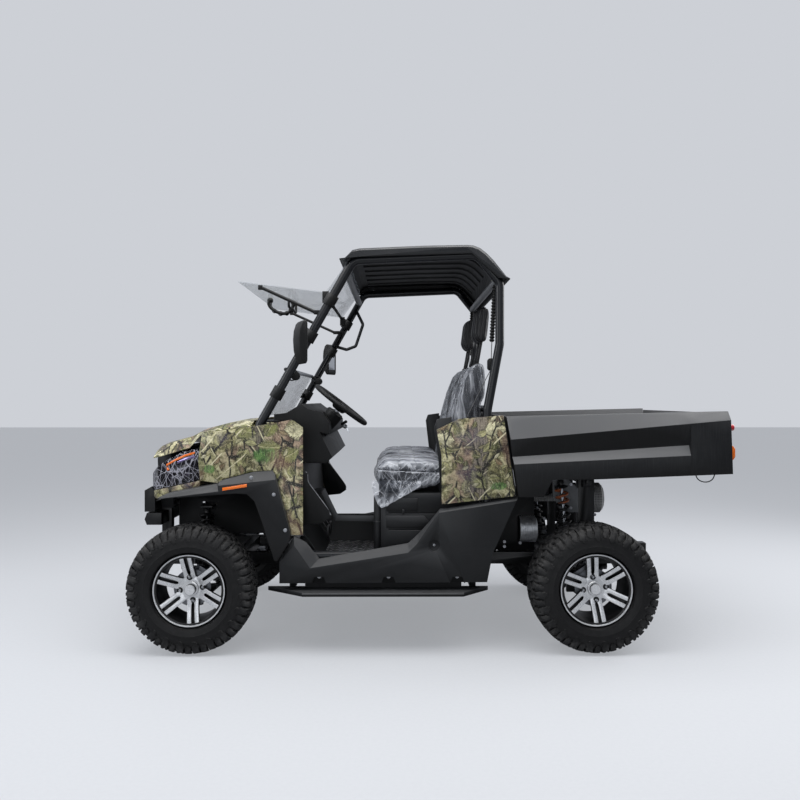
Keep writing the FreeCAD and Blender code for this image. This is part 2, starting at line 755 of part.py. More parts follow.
def marker():
    return prism_xz([(679, 786), (793, 768), (793, 782), (679, 800)], flare_y + 0.1, flare_y + 7)


# Cab

def floor_pan():
    t = panel_thickness
    floor = box(-215, 340, -594, 594, 430 - t, 430)
    wall = prism_xz([(340, 430 - t), (340, 430), (432, 560), (462, 879.7), (468, 879.7), (438, 556),
                     (346, 430 - t)], -594, 594)
    tunnel = prism_xz([(60.3, 430), (60.3, 533), (317, 539), (390, 690), (440, 690), (430, 430)],
                      -110, 110)
    tread = []
    for s in (-1, 1):
        for n in range(6):
            x = 96 + n * 40
            tread.append(box(x, x + 14, s * 350 - 180, s * 350 + 180, 430, 433))
    return joined([floor, wall, tunnel] + tread)


def column_line(along):
    """A point on the steering column, measured down from the wheel's centre."""
    tilt = math.radians(wheel_tilt_deg)
    return V(steering_wheel_x + along * math.sin(tilt), driver_y,
             steering_wheel_z - along * math.cos(tilt))


def dash():
    profile = [(585, 1120), (529, 1124), (452, 1171), (418, 1145), (350, 1130), (315, 1077),
               (315, 1021), (362, 1033), (300, 909), (330, 880), (585, 880)]
    body = prism_xz(profile, -500, 500)
    cowl = box(550, 640, -597, 597, 1084, 1090)
    body = body.fuse(cowl)
    return body.cut(cylinder(11 + running_gap, column_line(40), column_line(500)))


def steering_wheel():
    centre = column_line(0)
    axis = (column_line(-1) - centre).normalize()
    ring = Part.makeTorus(steering_wheel_radius - 14, 14, centre, axis)
    boss = cylinder(42, column_line(36), column_line(-4))
    shaft = cylinder(11, column_line(420), column_line(30))
    spokes = []
    for angle in (0, 120, 240):
        bar = box(0, steering_wheel_radius - 14, -17, 17, -6, 6)
        bar.rotate(V(0, 0, 0), ALONG_Z, angle)
        bar.Placement = FreeCAD.Placement(column_line(10), FreeCAD.Rotation(ALONG_Z, axis)).multiply(bar.Placement)
        spokes.append(bar)
    return joined([ring, boss, shaft] + spokes)


def seat_base():
    base = box(-415, 60, -565, 565, 430.3, 738)
    for z in (560, 640):
        base = base.cut(both_sides(box(-380, 20, 562, 566, z, z + 6)))
    return joined([base, hip_guard(), mirrored(hip_guard())])


def hip_guard():
    """The board that stands beside a seat's hips."""
    return prism_xz([(-199, 1062), (-212, 1098), (-282, 1108), (-290, 700), (-232, 700), (-219, 889)], 563, 581)


def seat_cushion():
    side = [(118, 805), (108, 850), (84, 880), (36, 897), (-60, 903), (-250, 900), (-250, 789), (-46, 738.3),
            (66, 738.3)]
    plan = [(80, 560), (106, 470), (118, 370), (118, 250), (106, 150), (80, 60), (-250, 60), (-250, 560)]
    return prism_xz(side, 60, 560).common(prism_xy(plan, 700, 950))


def seat_back():
    return prism_xz([(-255, 738.3), (-262, 900), (-288, 1089), (-318, 1202), (-361, 1318), (-385, 1354), (-405, 1374),
                     (-432, 1376), (-444, 1362), (-446, 1290), (-441, 1208), (-424, 1178), (-424, 1100), (-400, 962),
                     (-400, 738.3)], 60, 560)


def headrest():
    side = [(-396, 1510), (-408, 1478), (-452, 1474), (-472, 1490), (-488, 1640), (-480, 1662), (-440, 1668),
            (-414, 1652)]
    plan = [(-440, 425), (-410, 385), (-392, 340), (-392, 300), (-410, 255), (-440, 215), (-500, 215), (-500, 425)]
    pad = prism_xz(side, 215, 425).common(prism_xy(plan, 1400, 1700))
    posts = [cylinder(8, V(-446, driver_y - 10 + s * 60, 1490), V(-424, driver_y - 10 + s * 60, 1366))
             for s in (-1, 1)]
    return joined([pad] + posts).cut(seat_back())


def seat_belt():
    reel = box(-488, -450, 572, 598.7, 1330, 1390)
    strap = rod([V(-470, 585, 1340), V(-446, 580, 1300), V(-330, 572, 1060)], 4, 20)
    sleeve = cylinder(11, V(-490, 578, 1743.6), V(-474, 582, 1470))
    upper = cylinder(4, V(-474, 582, 1475), V(-470, 585, 1380))
    return joined([reel, strap, sleeve, upper])


def pedals():
    pieces = []
    for y in (280, 400):
        pad = box(322, 332, y - 30, y + 30, 500, 560)
        arm = prism_xz([(330, 540), (340, 536), (444, 690), (444.3, 700), (436, 700)], y - 8, y + 8)
        pieces.append(pad.fuse(arm))
    return Part.makeCompound(pieces)


skirt_outline = [(536, 328), (536, 435), (467, 552), (409, 516), (348, 441), (-72, 514), (-125, 563),
                 (-172, 616), (-222, 676), (-592, 732), (-472, 468), (-445, 333)]
skirt_face = [(532, 332), (532, 431), (462, 508), (427, 458), (389, 403), (-70, 475), (-111, 516),
              (-185, 623), (-216, 662), (-578, 718), (-466, 468), (-441, 337)]
skirt_notches = (347, 21, -301)
recess_x = -193.0
recess_z = 508.0
quarter_outline = [(-205, 1050), (-311, 1101), (-517, 1117), (-521, 1112), (-576, 738), (-229, 699),
                   (-229, 925)]


def side_skirt():
    panel = drafted(skirt_outline, skirt_face, cage_y + cage_tube_radius + running_gap, 646, skirt_y, 5)
    for x in skirt_notches:
        outer = prism_xz([(x - 40, 320), (x - 26, 366), (x + 26, 366), (x + 40, 320)], skirt_y - 22, skirt_y + 1)
        pocket = prism_xz([(x - 36, 320), (x - 23, 362), (x + 23, 362), (x + 36, 320)], skirt_y - 19,
                          skirt_y + 1)
        panel = panel.fuse(outer.common(box(-600, 600, 600, skirt_y, 333, 400))).cut(pocket)
    cup = cylinder_y(30, recess_x, recess_z, skirt_y - 20, skirt_y)
    cup_hole = cylinder_y(27, recess_x, recess_z, skirt_y - 17, skirt_y + 1)
    return panel.fuse(cup).cut(cup_hole)


def running_board():
    plate = prism_xy([(423, 711), (-329, 711), (-456, 580), (601, 580)], 277, 297)
    edge = cylinder(10, V(423, 711, 287), V(-329, 711, 287))
    return joined([plate, edge])


# Engine and exhaust

def engine():
    block = box(-740, -470, -220, 220, 400.3, 690)
    drum = Part.makeCylinder(65, 90, V(-743, 238, 516), V(1, 0, 0))
    return joined([block, drum])


def muffler():
    profile = [(0, -1156), (60, -1156), (83, -1140)]
    for n in range(3):
        x = -1120 + n * 44
        profile += [(83, x), (78, x + 6), (78, x + 16), (83, x + 22)]
    profile += [(83, -975), (22, -960), (22, -740.3), (0, -740.3)]
    face = face_of([V(x, 0, 650 + r) for r, x in profile])
    return face.revolve(V(0, 0, 650), V(1, 0, 0), 360)


# Bed

bed_side_lines = [
    # distance in from the outer face, z at the front, z at the rear
    (30, 1112.0, 1137.0), (0, 1004.0, 1096.0), (30, 921.0, 990.0), (4, 888.0, 940.0),
]
bed_line_x = (-533.0, -1575.0)
bed_step_x = -1391.0
bed_outline = [(-533, 1112), (-1575, 1137), (-1588, 844), (-951, 819), (-746, 817), (-704, 736),
               (-588, 736)]


def bed_side_section(x, low_z, shrink, stepped):
    """Outline of the bed's side wall at one x; stepped leaves out the long recess."""
    share = (x - bed_line_x[0]) / (bed_line_x[1] - bed_line_x[0])
    points = [(bed_inner_y + shrink, low_z)]
    for n, (depth, front_z, rear_z) in enumerate(bed_side_lines):
        z = front_z + share * (rear_z - front_z)
        y = bed_outer_y - depth - shrink
        if n == 0:
            points += [(bed_inner_y + shrink, z - shrink), (y, z - shrink)]
        elif n == 1 or n == 3 or not stepped:
            points.append((y if not stepped or n == 1 else bed_outer_y - 2 - shrink, z))
    points.append((bed_outer_y - 10 - shrink, low_z))
    wire = [V(x, y, z) for y, z in points]
    return Part.makePolygon(wire + wire[:1])


def bed_side(shrink, low_z):
    """The side wall's solid form: a crease, a long recess under it and a ledge."""
    step_x = bed_step_x - shrink
    front = Part.makeLoft([bed_side_section(x, low_z, shrink, False) for x in (-500, step_x)], True, True)
    rear = Part.makeLoft([bed_side_section(x, low_z, shrink, True) for x in (step_x, -1620)], True, True)
    return front.fuse(rear)


def bed():
    wall = prism_xz(bed_outline, 600, 720).common(bed_side(0, 700))
    hollow = prism_xz([(-546, 1120), (-1566, 1145), (-1578, 640), (-600, 640)], 600, 720)
    wall = wall.cut(hollow.common(bed_side(bed_wall_thickness, 640)))
    floor = box(-1556, -572, -bed_inner_y, bed_inner_y, bed_floor_z - 8, bed_floor_z)
    front = prism_xz([(-533, 1112), (-545, 1112), (-581, 860), (-569.5, 860)], -bed_inner_y, bed_inner_y)
    ribs = [box(-1540, -580, y - 10, y + 10, bed_floor_z, bed_floor_z + 5) for y in range(-540, 541, 120)]
    lugs = []
    for s in (-1, 1):
        lug = box(bed_pivot_x - 30, bed_pivot_x + 30, s * 310 - 12, s * 310 + 12, bed_pivot_z - 28, 864)
        lugs.append(lug.cut(cylinder_y(bed_pin_radius + running_gap, bed_pivot_x, bed_pivot_z, -400, 400)))
    hinge = [cylinder_y(7, gate_pivot_x, gate_pivot_z, y - 50, y + 50) for y in (-400, 400)]
    feet = [box(gate_pivot_x, -1545, y - 50, y - 20, gate_pivot_z - 7, gate_pivot_z + 4) for y in (-400, 400)]
    return joined([wall, mirrored(wall), floor, front] + ribs + lugs + hinge + feet)


def bed_wire():
    y = bed_outer_y - 14.4
    return rod([V(-1430, y, 880), V(-1445, y, 800), V(-1515, y, 800), V(-1530, y, 880)], 3, 20)


def tailgate():
    plate = box(-1586, -1574, -612, 612, 884, 1128)
    ribs = [box(-1592, -1585, y - 20, y + 20, 900, 1110) for y in range(-500, 501, 200)]
    barrels = []
    for y in (-400, 400):
        barrel = cylinder_y(13, gate_pivot_x, gate_pivot_z, y - 15, y + 40)
        web = box(-1586, -1576, y - 15, y + 40, gate_pivot_z, 890)
        barrels.append(barrel.fuse(web).cut(
            cylinder_y(7 + running_gap, gate_pivot_x, gate_pivot_z, y - 60, y + 60)))
    return joined([plate] + ribs + barrels)


def tail_lamp():
    red = Part.makeCylinder(16, 30, V(-1579.2, 655, 1060), V(-1, 0, 0))
    amber = box(tail_x, -1586, 637, 673, 903, 979)
    return Part.makeCompound([red, amber])


def mirror():
    outline = [(715, 1400), (722, 1370), (745, 1354), (815, 1352), (838, 1368), (845, 1400), (843, 1490), (830, 1532),
               (800, 1550), (752, 1548), (722, 1520), (716, 1480)]
    housing = prism_yz(outline, 403, 429)
    housing.rotate(V(416, 780, 1450), ALONG_Z, mirror_turn_deg)
    arm = rod([V(pillar_x(1440), cage_y + 22.5, 1440), V(426, 730, 1450)], 9, 20)
    return joined([housing, arm])


# Steering under the floor

def tie_rods():
    """One sliding bar; each end is a fork that leaves the steering arm room to swing."""
    x = front_axle_x - steering_arm
    end_y = kingpin_y - arm_inset
    bar = cylinder_y(9, x, tie_rod_z, -end_y + 100, end_y - 100)
    forks = []
    for s in (-1, 1):
        cheek = min(s * (end_y - 104), s * (end_y + 12)), max(s * (end_y - 104), s * (end_y + 12))
        for z in (tie_rod_z - 16, tie_rod_z + 11):
            forks.append(box(x - 22, x + 22, cheek[0], cheek[1], z, z + 5))
        web = min(s * (end_y - 104), s * (end_y - 92)), max(s * (end_y - 104), s * (end_y - 92))
        forks.append(box(x - 22, x + 22, web[0], web[1], tie_rod_z - 16, tie_rod_z + 16))
    return joined([bar] + forks)


def steering_rack():
    x = front_axle_x - steering_arm
    tube = cylinder_y(24, x, tie_rod_z, -160, 160)
    tube = tube.cut(cylinder_y(9 + running_gap, x, tie_rod_z, -161, 161))
    post = [box(x - 20, x + 20, s * 130 - 10, s * 130 + 10, tie_rod_z + 20, rail_low_z - running_gap)
            for s in (-1, 1)]
    return joined([tube] + post)


def frame_rest():
    pieces = [frame()]
    for s in (-1, 1):
        y = s * rail_y
        pieces.append(box(bed_pivot_x - 8, bed_pivot_x + 42, y - 25, y + 25, rail_low_z, 796))
        pieces.append(box(bed_pivot_x - 42, bed_pivot_x, y - 25, y + 25, 500, 796))
        pieces.append(cylinder_y(bed_pin_radius, bed_pivot_x, bed_pivot_z, min(y, s * 335), max(y, s * 335)))
        for x in (-380, 60, 480):
            pieces.append(box(x - 15, x + 15, min(y, s * 600), max(y, s * 600), 297.3, 345))
        pieces.append(box(-430, 500, min(s * 560, s * 598), max(s * 560, s * 598), 330, 425.7))
        pieces.append(box(-430, 500, min(s * 596, s * 634), max(s * 596, s * 634), 330,
                          sill_z - cage_tube_radius - running_gap))
    pieces.append(box(bed_pivot_x - 12, bed_pivot_x + 12, -rail_y, rail_y, 746, 776))
    receiver = box(-1390, -1230, -32, 32, 338, 402).cut(box(-1400, -1262, -25.4, 25.4, 344.6, 395.4))
    receiver = receiver.cut(cylinder_y(8, -1333, 370, -60, 60))
    pieces.append(receiver)
    return joined(pieces + uprights())


wheels()
export_pair("front_knuckle", front_knuckle())
export("rear_hubs", both_sides(rear_hub()))
suspension()
export("drive_shafts", drive_shafts())
export("frame", frame_rest())
export("roll_cage", roll_cage())
export("roof_panel", roof_panel())
export("windshield", windshield())
export("windshield_fittings", windshield_fittings())
export("front_side_panels", Part.makeCompound([both_sides(front_side_panel()), both_sides(cheek())]))
export("fender_flares", both_sides(fender_flare()))
export("inner_fenders", both_sides(inner_fender()))
export("hood", hood())
export("headlamps", both_sides(headlamp()))
export("nose_panel", nose())
export("front_bumper", front_bumper())
export("marker_lamps", both_sides(marker()))
export("floor_pan", floor_pan())
export("dash", dash())
export("steering_wheel", steering_wheel())
export("seat_base", seat_base())
export("seat_cushions", both_sides(seat_cushion()))
export("seat_backs", both_sides(seat_back()))
export("headrests", both_sides(headrest()))
export("seat_belts", both_sides(seat_belt()))
export("pedals", pedals())
export("side_skirts", both_sides(side_skirt()))
export("quarter_panels", both_sides(moulded(quarter_outline, cage_y + cage_tube_radius + running_gap, quarter_y, 4)))
export("running_boards", both_sides(running_board()))
export("engine", engine())
export("muffler", muffler())
export("bed", bed())
export("bed_wires", both_sides(bed_wire()))
export("tailgate", tailgate())
export("tail_lamps", both_sides(tail_lamp()))
export("mirrors", both_sides(mirror()))
export("tie_rods", tie_rods())
export("steering_rack", steering_rack())
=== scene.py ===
import math

import bmesh
import bpy
from bpy.props import FloatProperty, FloatVectorProperty, IntProperty, PointerProperty
from mathutils import Matrix, Vector, noise


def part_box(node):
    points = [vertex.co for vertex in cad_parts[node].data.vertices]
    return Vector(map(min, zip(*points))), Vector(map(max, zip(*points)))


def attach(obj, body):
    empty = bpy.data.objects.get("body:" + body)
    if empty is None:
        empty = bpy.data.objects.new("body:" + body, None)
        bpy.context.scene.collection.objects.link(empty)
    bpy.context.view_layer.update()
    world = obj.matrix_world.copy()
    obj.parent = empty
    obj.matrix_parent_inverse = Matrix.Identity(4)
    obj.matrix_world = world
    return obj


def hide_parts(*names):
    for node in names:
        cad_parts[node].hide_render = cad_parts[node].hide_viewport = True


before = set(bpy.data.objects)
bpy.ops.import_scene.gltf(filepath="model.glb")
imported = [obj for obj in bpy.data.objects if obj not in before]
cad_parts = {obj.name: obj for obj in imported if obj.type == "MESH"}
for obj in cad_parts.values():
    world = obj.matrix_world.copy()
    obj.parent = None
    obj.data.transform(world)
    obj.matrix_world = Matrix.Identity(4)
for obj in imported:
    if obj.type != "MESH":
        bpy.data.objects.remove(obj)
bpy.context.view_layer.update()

bl_info = {
    "name": "Side by side utility vehicle",
    "version": (1, 0, 0),
    "blender": (4, 5, 0),
    "location": "View3D > Sidebar > Vehicle",
    "description": "Dresses the frame of a two seat side by side utility vehicle",
    "category": "Object",
}

CAB_SHIFT = 180.5
AT_ORIGIN = (-CAB_SHIFT, 0, 0)
ACROSS = (0, 1, 0)
UP = (0, 0, 1)
FRONT_AXLE = 950.0
REAR_AXLE = -950.0
HUB_HEIGHT = 302.0
WHEEL_TILT = math.radians(37.8)
COLUMN_Y = 330
SEAT_MIDDLE = 310
HEAD_MIDDLE = 320
SEAT_EDGE_LOW, SEAT_EDGE_HIGH = 70, 550
SPOKE_FACE_END = 158
SPOKE_DISH_RUN = 96
CROSS_TUBES = ((220.7, 1800), (-494, 1762))
TOWER_Y = 0.35
HEM_TIP_X, HEM_TIP_Z = 56, 670
TREAD_ROOT = 0.236
TYRE_REACH = 0.3016
LUG_COUNT = 23
NUT_CIRCLE = 54
PUFF_FRAMES = 20
FAR_AWAY = 99
SAME_POINT = 0.00002
PHOTO_LENS = 35.55
PHOTO_SPOT = (0.1632, 4.3777, 1.1901)
PHOTO_TURN = math.radians(179.765)
finishes = {}


def mm(x, y, z):
    """A point measured in millimetres from the middle of the wheelbase."""
    return Vector(((x + CAB_SHIFT) / 1000, y / 1000, z / 1000))


def rgb(red, green, blue):
    """A screen colour as the linear one that a shader takes."""
    out = []
    for value in (red, green, blue):
        value /= 255
        out.append(value / 12.92 if value <= 0.04045 else ((value + 0.055) / 1.055) ** 2.4)
    return (*out, 1.0)


# Modelling

def clear():
    if bpy.context.object and bpy.context.object.mode != "OBJECT":
        bpy.ops.object.mode_set(mode="OBJECT")
    bpy.ops.object.select_all(action="DESELECT")


def take(*pieces):
    clear()
    for piece in pieces:
        piece.select_set(True)
    bpy.context.view_layer.objects.active = pieces[0]
    return pieces[0]


def settle(piece):
    """Puts the place of an object into its mesh."""
    take(piece)
    bpy.ops.object.transform_apply(location=True, rotation=True, scale=True)
    return piece


def named(name):
    piece = bpy.context.object
    piece.name = name
    piece.data.name = name
    return piece


def new_piece(name):
    return settle(named(name))


def cylinder(name, start, end, radius, sides=32, end_radius=None):
    """A straight round bar or cone between two points."""
    clear()
    start, end = mm(*start), mm(*end)
    along = end - start
    bpy.ops.mesh.primitive_cone_add(
        vertices=sides, radius1=radius / 1000, depth=along.length, location=(start + end) / 2,
        radius2=(radius if end_radius is None else end_radius) / 1000,
        rotation=along.to_track_quat("Z", "Y").to_euler())
    return new_piece(name)


def begin(piece, action="DESELECT", kind="FACE"):
    take(piece)
    bpy.ops.object.mode_set(mode="EDIT")
    bpy.ops.mesh.select_mode(type=kind)
    bpy.ops.mesh.select_all(action=action)


def end():
    bpy.ops.object.mode_set(mode="OBJECT")


def pushed(move):
    bpy.ops.mesh.extrude_region_move(TRANSFORM_OT_translate={"value": move})


def pick(piece, test):
    """Selects the faces for which test(middle, normal) holds, in edit mode."""
    shape = bmesh.from_edit_mesh(piece.data)
    bpy.ops.mesh.select_all(action="DESELECT")
    count = 0
    for face in shape.faces:
        if test(face.calc_center_median(), face.normal):
            face.select_set(True)
            count += 1
    shape.select_flush(True)
    bmesh.update_edit_mesh(piece.data)
    if not count:
        raise RuntimeError(f"no face of {piece.name} was found")


def sunk(piece, test, inset, move):
    """Insets the faces for which test holds and pushes what is inside them by a move in metres."""
    begin(piece)
    pick(piece, test)
    bpy.ops.mesh.inset(thickness=inset)
    pushed(move)
    end()


def drawn(name, points, closed=True):
    """A line drawn corner by corner from one vertex, and filled when it is closed."""
    clear()
    bpy.ops.mesh.primitive_plane_add(size=0.001, location=mm(*points[0]))
    piece = new_piece(name)
    begin(piece, "SELECT", "VERT")
    bpy.ops.mesh.merge(type="CENTER")
    for before, here in zip(points, points[1:]):
        pushed(mm(*here) - mm(*before))
    if closed:
        bpy.ops.mesh.select_all(action="SELECT")
        bpy.ops.mesh.edge_face_add()
    end()
    return piece


def slab(name, outline, low, high):
    """An outline of (x, z) points pushed through from one y to another."""
    piece = drawn(name, [(x, low, z) for x, z in outline])
    begin(piece, "SELECT")
    pushed((0, (high - low) / 1000, 0))
    end()
    return outward(piece)


def ribbed(start, count, pitch, rib):
    """The (radius, along) corners of one rib, repeated along a lathe profile."""
    return [(radius, start + n * pitch + along) for n in range(count) for radius, along in rib]


def turned(name, profile, centre, axis, steps=48):
    """A (radius, along) line carried round an axis through a point."""
    axis = Vector(axis).normalized()
    side = axis.orthogonal().normalized() * 1000
    origin = Vector(centre)
    points = [origin + side * r / 1000 + axis * a for r, a in profile]
    piece = drawn(name, [tuple(p) for p in points], closed=False)
    begin(piece, "SELECT", "VERT")
    bpy.ops.mesh.spin(steps=steps, angle=2 * math.pi, center=mm(*origin), axis=axis)
    bpy.ops.mesh.select_all(action="SELECT")
    bpy.ops.mesh.remove_doubles(threshold=SAME_POINT)
    end()
    return outward(piece)


def outward(piece):
    """Merges points that meet and turns every face outward."""
    begin(piece, "SELECT")
    bpy.ops.mesh.remove_doubles(threshold=0.00001)
    bpy.ops.mesh.normals_make_consistent(inside=False)
    end()
    return piece


def modified(piece, kind, **settings):
    take(piece)
    modifier = piece.modifiers.new(kind.title(), kind)
    for key, value in settings.items():
        setattr(modifier, key, value)
    bpy.ops.object.modifier_apply(modifier=modifier.name)
    return piece


def eased(piece, width, segments=2, angle=30.0):
    """Rounds the sharp edges by a width in millimetres."""
    return modified(piece, "BEVEL", width=width / 1000, segments=segments, limit_method="ANGLE",
                    angle_limit=math.radians(angle), use_clamp_overlap=True)


def smoothed(piece, angle=35.0):
    take(piece)
    bpy.ops.object.shade_smooth_by_angle(angle=math.radians(angle))
    return piece


def softened(piece):
    return modified(piece, "SUBSURF", levels=1, render_levels=1)


def copied(piece, name):
    made = bpy.data.objects.new(name, piece.data.copy())
    made.data.name = name
    bpy.context.scene.collection.objects.link(made)
    return made


def opposite(piece, name):
    """A mirror image across the vehicle's middle, with its own mesh."""
    made = copied(piece, name)
    made.data.transform(Matrix.Scale(-1, 4, ACROSS))
    made.data.flip_normals()
    return made


def turned_copy(piece, name, angle, centre, axis):
    made = copied(piece, name)
    place = Matrix.Translation(mm(*centre))
    made.data.transform(place @ Matrix.Rotation(angle, 4, Vector(axis)) @ place.inverted())
    return made


def joined(pieces, name):
    take(*pieces)
    if len(pieces) > 1:
        bpy.ops.object.join()
    return named(name)


def painted(piece, *names):
    """Gives a piece the finishes of these names in place of its own."""
    piece.data.materials.clear()
    for name in names:
        piece.data.materials.append(finishes[name])
    return piece


def paint_where(piece, index, test):
    """Gives a material index to the faces for which test(middle, normal) holds."""
    for face in piece.data.polygons:
        if test(face.center, face.normal):
            face.material_index = index


def second_paint(piece, name, test):
    """Adds a finish for the faces for which test(middle, normal) holds."""
    piece.data.materials.append(finishes[name])
    paint_where(piece, len(piece.data.materials) - 1, test)


def meshed(line):
    take(line)
    bpy.ops.object.convert(target="MESH")
    return bpy.context.object


def placed(piece, body, slot, *nodes):
    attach(piece, body)
    if nodes:
        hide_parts(*nodes)
    return piece


def both_sides(piece, body, slot, *nodes):
    """Places a left piece and its mirror image, which is named right."""
    pair = (piece, opposite(piece, piece.name.replace("left", "right")))
    for side in pair:
        placed(side, body, slot, *nodes)
    return pair


def dressed(node, name, width, finish, slot, body="chassis", segments=2, smooth=40.0):
    """A merged copy of a CAD node with its edges eased, shown in the node's place."""
    piece = bpy.data.objects.new(name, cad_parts[node].data.copy())
    bpy.context.scene.collection.objects.link(piece)
    painted(piece, finish)
    begin(piece, "SELECT")
    bpy.ops.mesh.remove_doubles(threshold=SAME_POINT)
    bpy.ops.mesh.dissolve_limited(angle_limit=math.radians(0.6))
    end()
    for face in piece.data.polygons:
        face.material_index = 0
    if width:
        eased(piece, width, segments)
    smoothed(piece, smooth)
    return placed(piece, body, slot, node)


# Materials

class Finish:
    """A material with the nodes that give it its grain and wear."""

    def __init__(self, name, colour, roughness, metallic=0.0, specular=0.5, coat=(0.0, 0.03)):
        self.material = bpy.data.materials.new(name)
        self.material.use_nodes = True
        self.tree = self.material.node_tree
        self.surface = self.tree.nodes["Principled BSDF"]
        self.set("Base Color", colour)
        self.set("Roughness", roughness)
        self.set("Metallic", metallic)
        self.set("Specular IOR Level", specular)
        self.set("Coat Weight", coat[0])
        self.set("Coat Roughness", coat[1])
        self.place = self.tree.nodes.new("ShaderNodeTexCoord").outputs["Object"]

    def feed(self, socket, value):
        if isinstance(value, bpy.types.NodeSocket):
            self.tree.links.new(value, socket)
        else:
            socket.default_value = value

    def set(self, name, value):
        self.feed(self.surface.inputs[name], value)

    def node(self, kind, **settings):
        """A node's outputs; a setting named after a socket is fed to it, and any other is set on the node."""
        made = self.tree.nodes.new("ShaderNode" + kind)
        for key, value in settings.items():
            name = key.replace("_", " ")
            if name in made.inputs:
                self.feed(made.inputs[name], value)
            else:
                setattr(made, key, value)
        return made.outputs

    def fed(self, kind, values, **settings):
        """A node's outputs, with these values fed to its first sockets."""
        made = self.node(kind, **settings)
        for socket, value in zip(made[0].node.inputs, values):
            self.feed(socket, value)
        return made

    def math(self, operation, *values):
        return self.fed("Math", values, operation=operation)[0]

    def times(self, first, second):
        return self.math("MULTIPLY", first, second)

    def plus(self, first, second):
        return self.math("ADD", first, second)

    def minus(self, first, second):
        return self.math("SUBTRACT", first, second)

    def vector(self, operation, first, second):
        return self.fed("VectorMath", (first, second), operation=operation)[0]

    def length(self, vector):
        return self.node("VectorMath", operation="LENGTH", Vector=vector)["Value"]

    def split(self, vector):
        return self.node("SeparateXYZ", Vector=vector)

    def mix(self, share, first, second):
        made = self.node("Mix", data_type="RGBA")[0].node
        for index, value in ((0, share), (6, first), (7, second)):
            self.feed(made.inputs[index], value)
        return made.outputs[2]

    def ramp(self, share, *stops):
        made = self.fed("ValToRGB", (share,))[0]
        marks = made.node.color_ramp.elements
        while len(marks) < len(stops):
            marks.new(1.0)
        for mark, (at, colour) in zip(marks, stops):
            mark.position = at
            mark.color = colour
        return made

    def between(self, share, low, high):
        """How far share has come from low to high, from 0 to 1."""
        return self.fed("MapRange", (share, low, high, 0.0, 1.0), clamp=True)[0]

    def ridge(self, field, sharp, power):
        """Bright lines along the middle value of a noise."""
        away = self.math("ABSOLUTE", self.minus(field, 0.5))
        return self.math("POWER", self.between(self.times(away, sharp), 1.0, 0.0), power)

    def noise(self, scale, detail=3.0, vector=None, roughness=0.5, distortion=0.0, output=0):
        return self.node("TexNoise", Vector=vector or self.place, Scale=scale, Detail=detail,
                         Roughness=roughness, Distortion=distortion)[output]

    def mapped(self, vector=None, scale=(1, 1, 1), turn=(0, 0, 0), shift=(0, 0, 0)):
        """A vector scaled, then turned, then shifted."""
        return self.node("Mapping", Vector=vector or self.place, Scale=scale, Rotation=turn,
                         Location=shift)[0]

    def bent(self, vector, frequency, detail, reach):
        """A vector pushed about by a slow noise, by a reach along each axis."""
        warp = self.noise(frequency, detail, vector=vector, output=1)
        warp = self.vector("SUBTRACT", warp, (0.5, 0.5, 0.5))
        return self.vector("ADD", vector, self.vector("MULTIPLY", warp, reach))

    def relief(self, height, strength, distance, below=None):
        made = self.node("Bump", Strength=strength, Distance=distance, Height=height)[0]
        if below:
            self.feed(made.node.inputs["Normal"], below)
        return made


def toned(colour, times, plus=0.0):
    """A colour made brighter or darker."""
    return (*(c * times + plus for c in colour[:3]), 1)


def moulded_plastic(name, shade, roughness, grain=0.25, streaks=0.0, top_light=0.5):
    """Moulded plastic with a fine leather grain and fine scuffs, with a painted highlight on what faces up
    and painted shade on what faces down.
    """
    f = Finish(name, shade, roughness, specular=0.3)
    cells = f.node("TexVoronoi", Vector=f.place, Scale=620.0, Randomness=1.0)[0]
    fine = f.noise(1500.0, 2.0)
    pebbles = f.plus(f.times(cells, 0.7), f.times(fine, 0.5))
    smudge = f.noise(7.0, 5.0, roughness=0.65)
    patch = f.between(smudge, 0.42, 0.72)
    paler = toned(shade, 1.15, 0.009)
    tone = f.mix(f.times(patch, 0.4), shade, paler)
    scuff = f.noise(1.0, 3.0, vector=f.mapped(scale=(14.0, 30.0, 160.0), turn=(0.0, 0.35, 0.0)))
    tone = f.mix(f.times(f.between(scuff, 0.66, 0.72), 0.25), tone, paler)
    if streaks:
        lines = f.noise(1.0, 4.0, vector=f.mapped(scale=(230.0, 20.0, 8.0)), roughness=0.7)
        tone = f.mix(f.times(f.between(lines, 0.47, 0.72), streaks), tone, toned(shade, 2.0, 0.012))
    # Painted light: faces that look up are made paler as a painted highlight, most of all on the bed, and
    # faces that look down are made near black as painted shade.
    rise = f.split(f.tree.nodes["Texture Coordinate"].outputs["Normal"])[2]
    lit_top = f.between(rise, 0.03, 0.27)
    shaded_under = f.between(rise, -0.04, -0.25)
    lit = 0.05 + 0.1 * max(0.0, top_light - 0.5)
    tone = f.mix(f.times(lit_top, top_light), tone, toned(shade, 3.0, lit))
    tone = f.mix(f.times(shaded_under, 0.75), tone, (0.002, 0.002, 0.002, 1))
    f.set("Base Color", tone)
    f.set("Roughness", f.plus(f.times(shaded_under, 0.25), f.plus(f.times(smudge, 0.22), roughness - 0.1)))
    f.set("Normal", f.relief(pebbles, grain, 0.0004, f.relief(f.noise(11.0, 2.0), 0.1, 0.004)))
    return f.material


def powder_coat(name, colour, roughness=0.36):
    """Satin powder coated steel with a faint orange peel and rubbed spots."""
    f = Finish(name, colour, roughness, specular=0.4, coat=(0.12, 0.25))
    peel = f.noise(420.0, 2.0)
    rub = f.between(f.noise(19.0, 6.0, roughness=0.7), 0.64, 0.74)
    worn = toned(colour, 1.5, 0.02)
    f.set("Base Color", f.mix(f.times(rub, 0.4), colour, worn))
    f.set("Roughness", f.plus(f.times(f.noise(9.0, 3.0), 0.2), roughness - 0.1))
    f.set("Normal", f.relief(peel, 0.16, 0.0006))
    return f.material


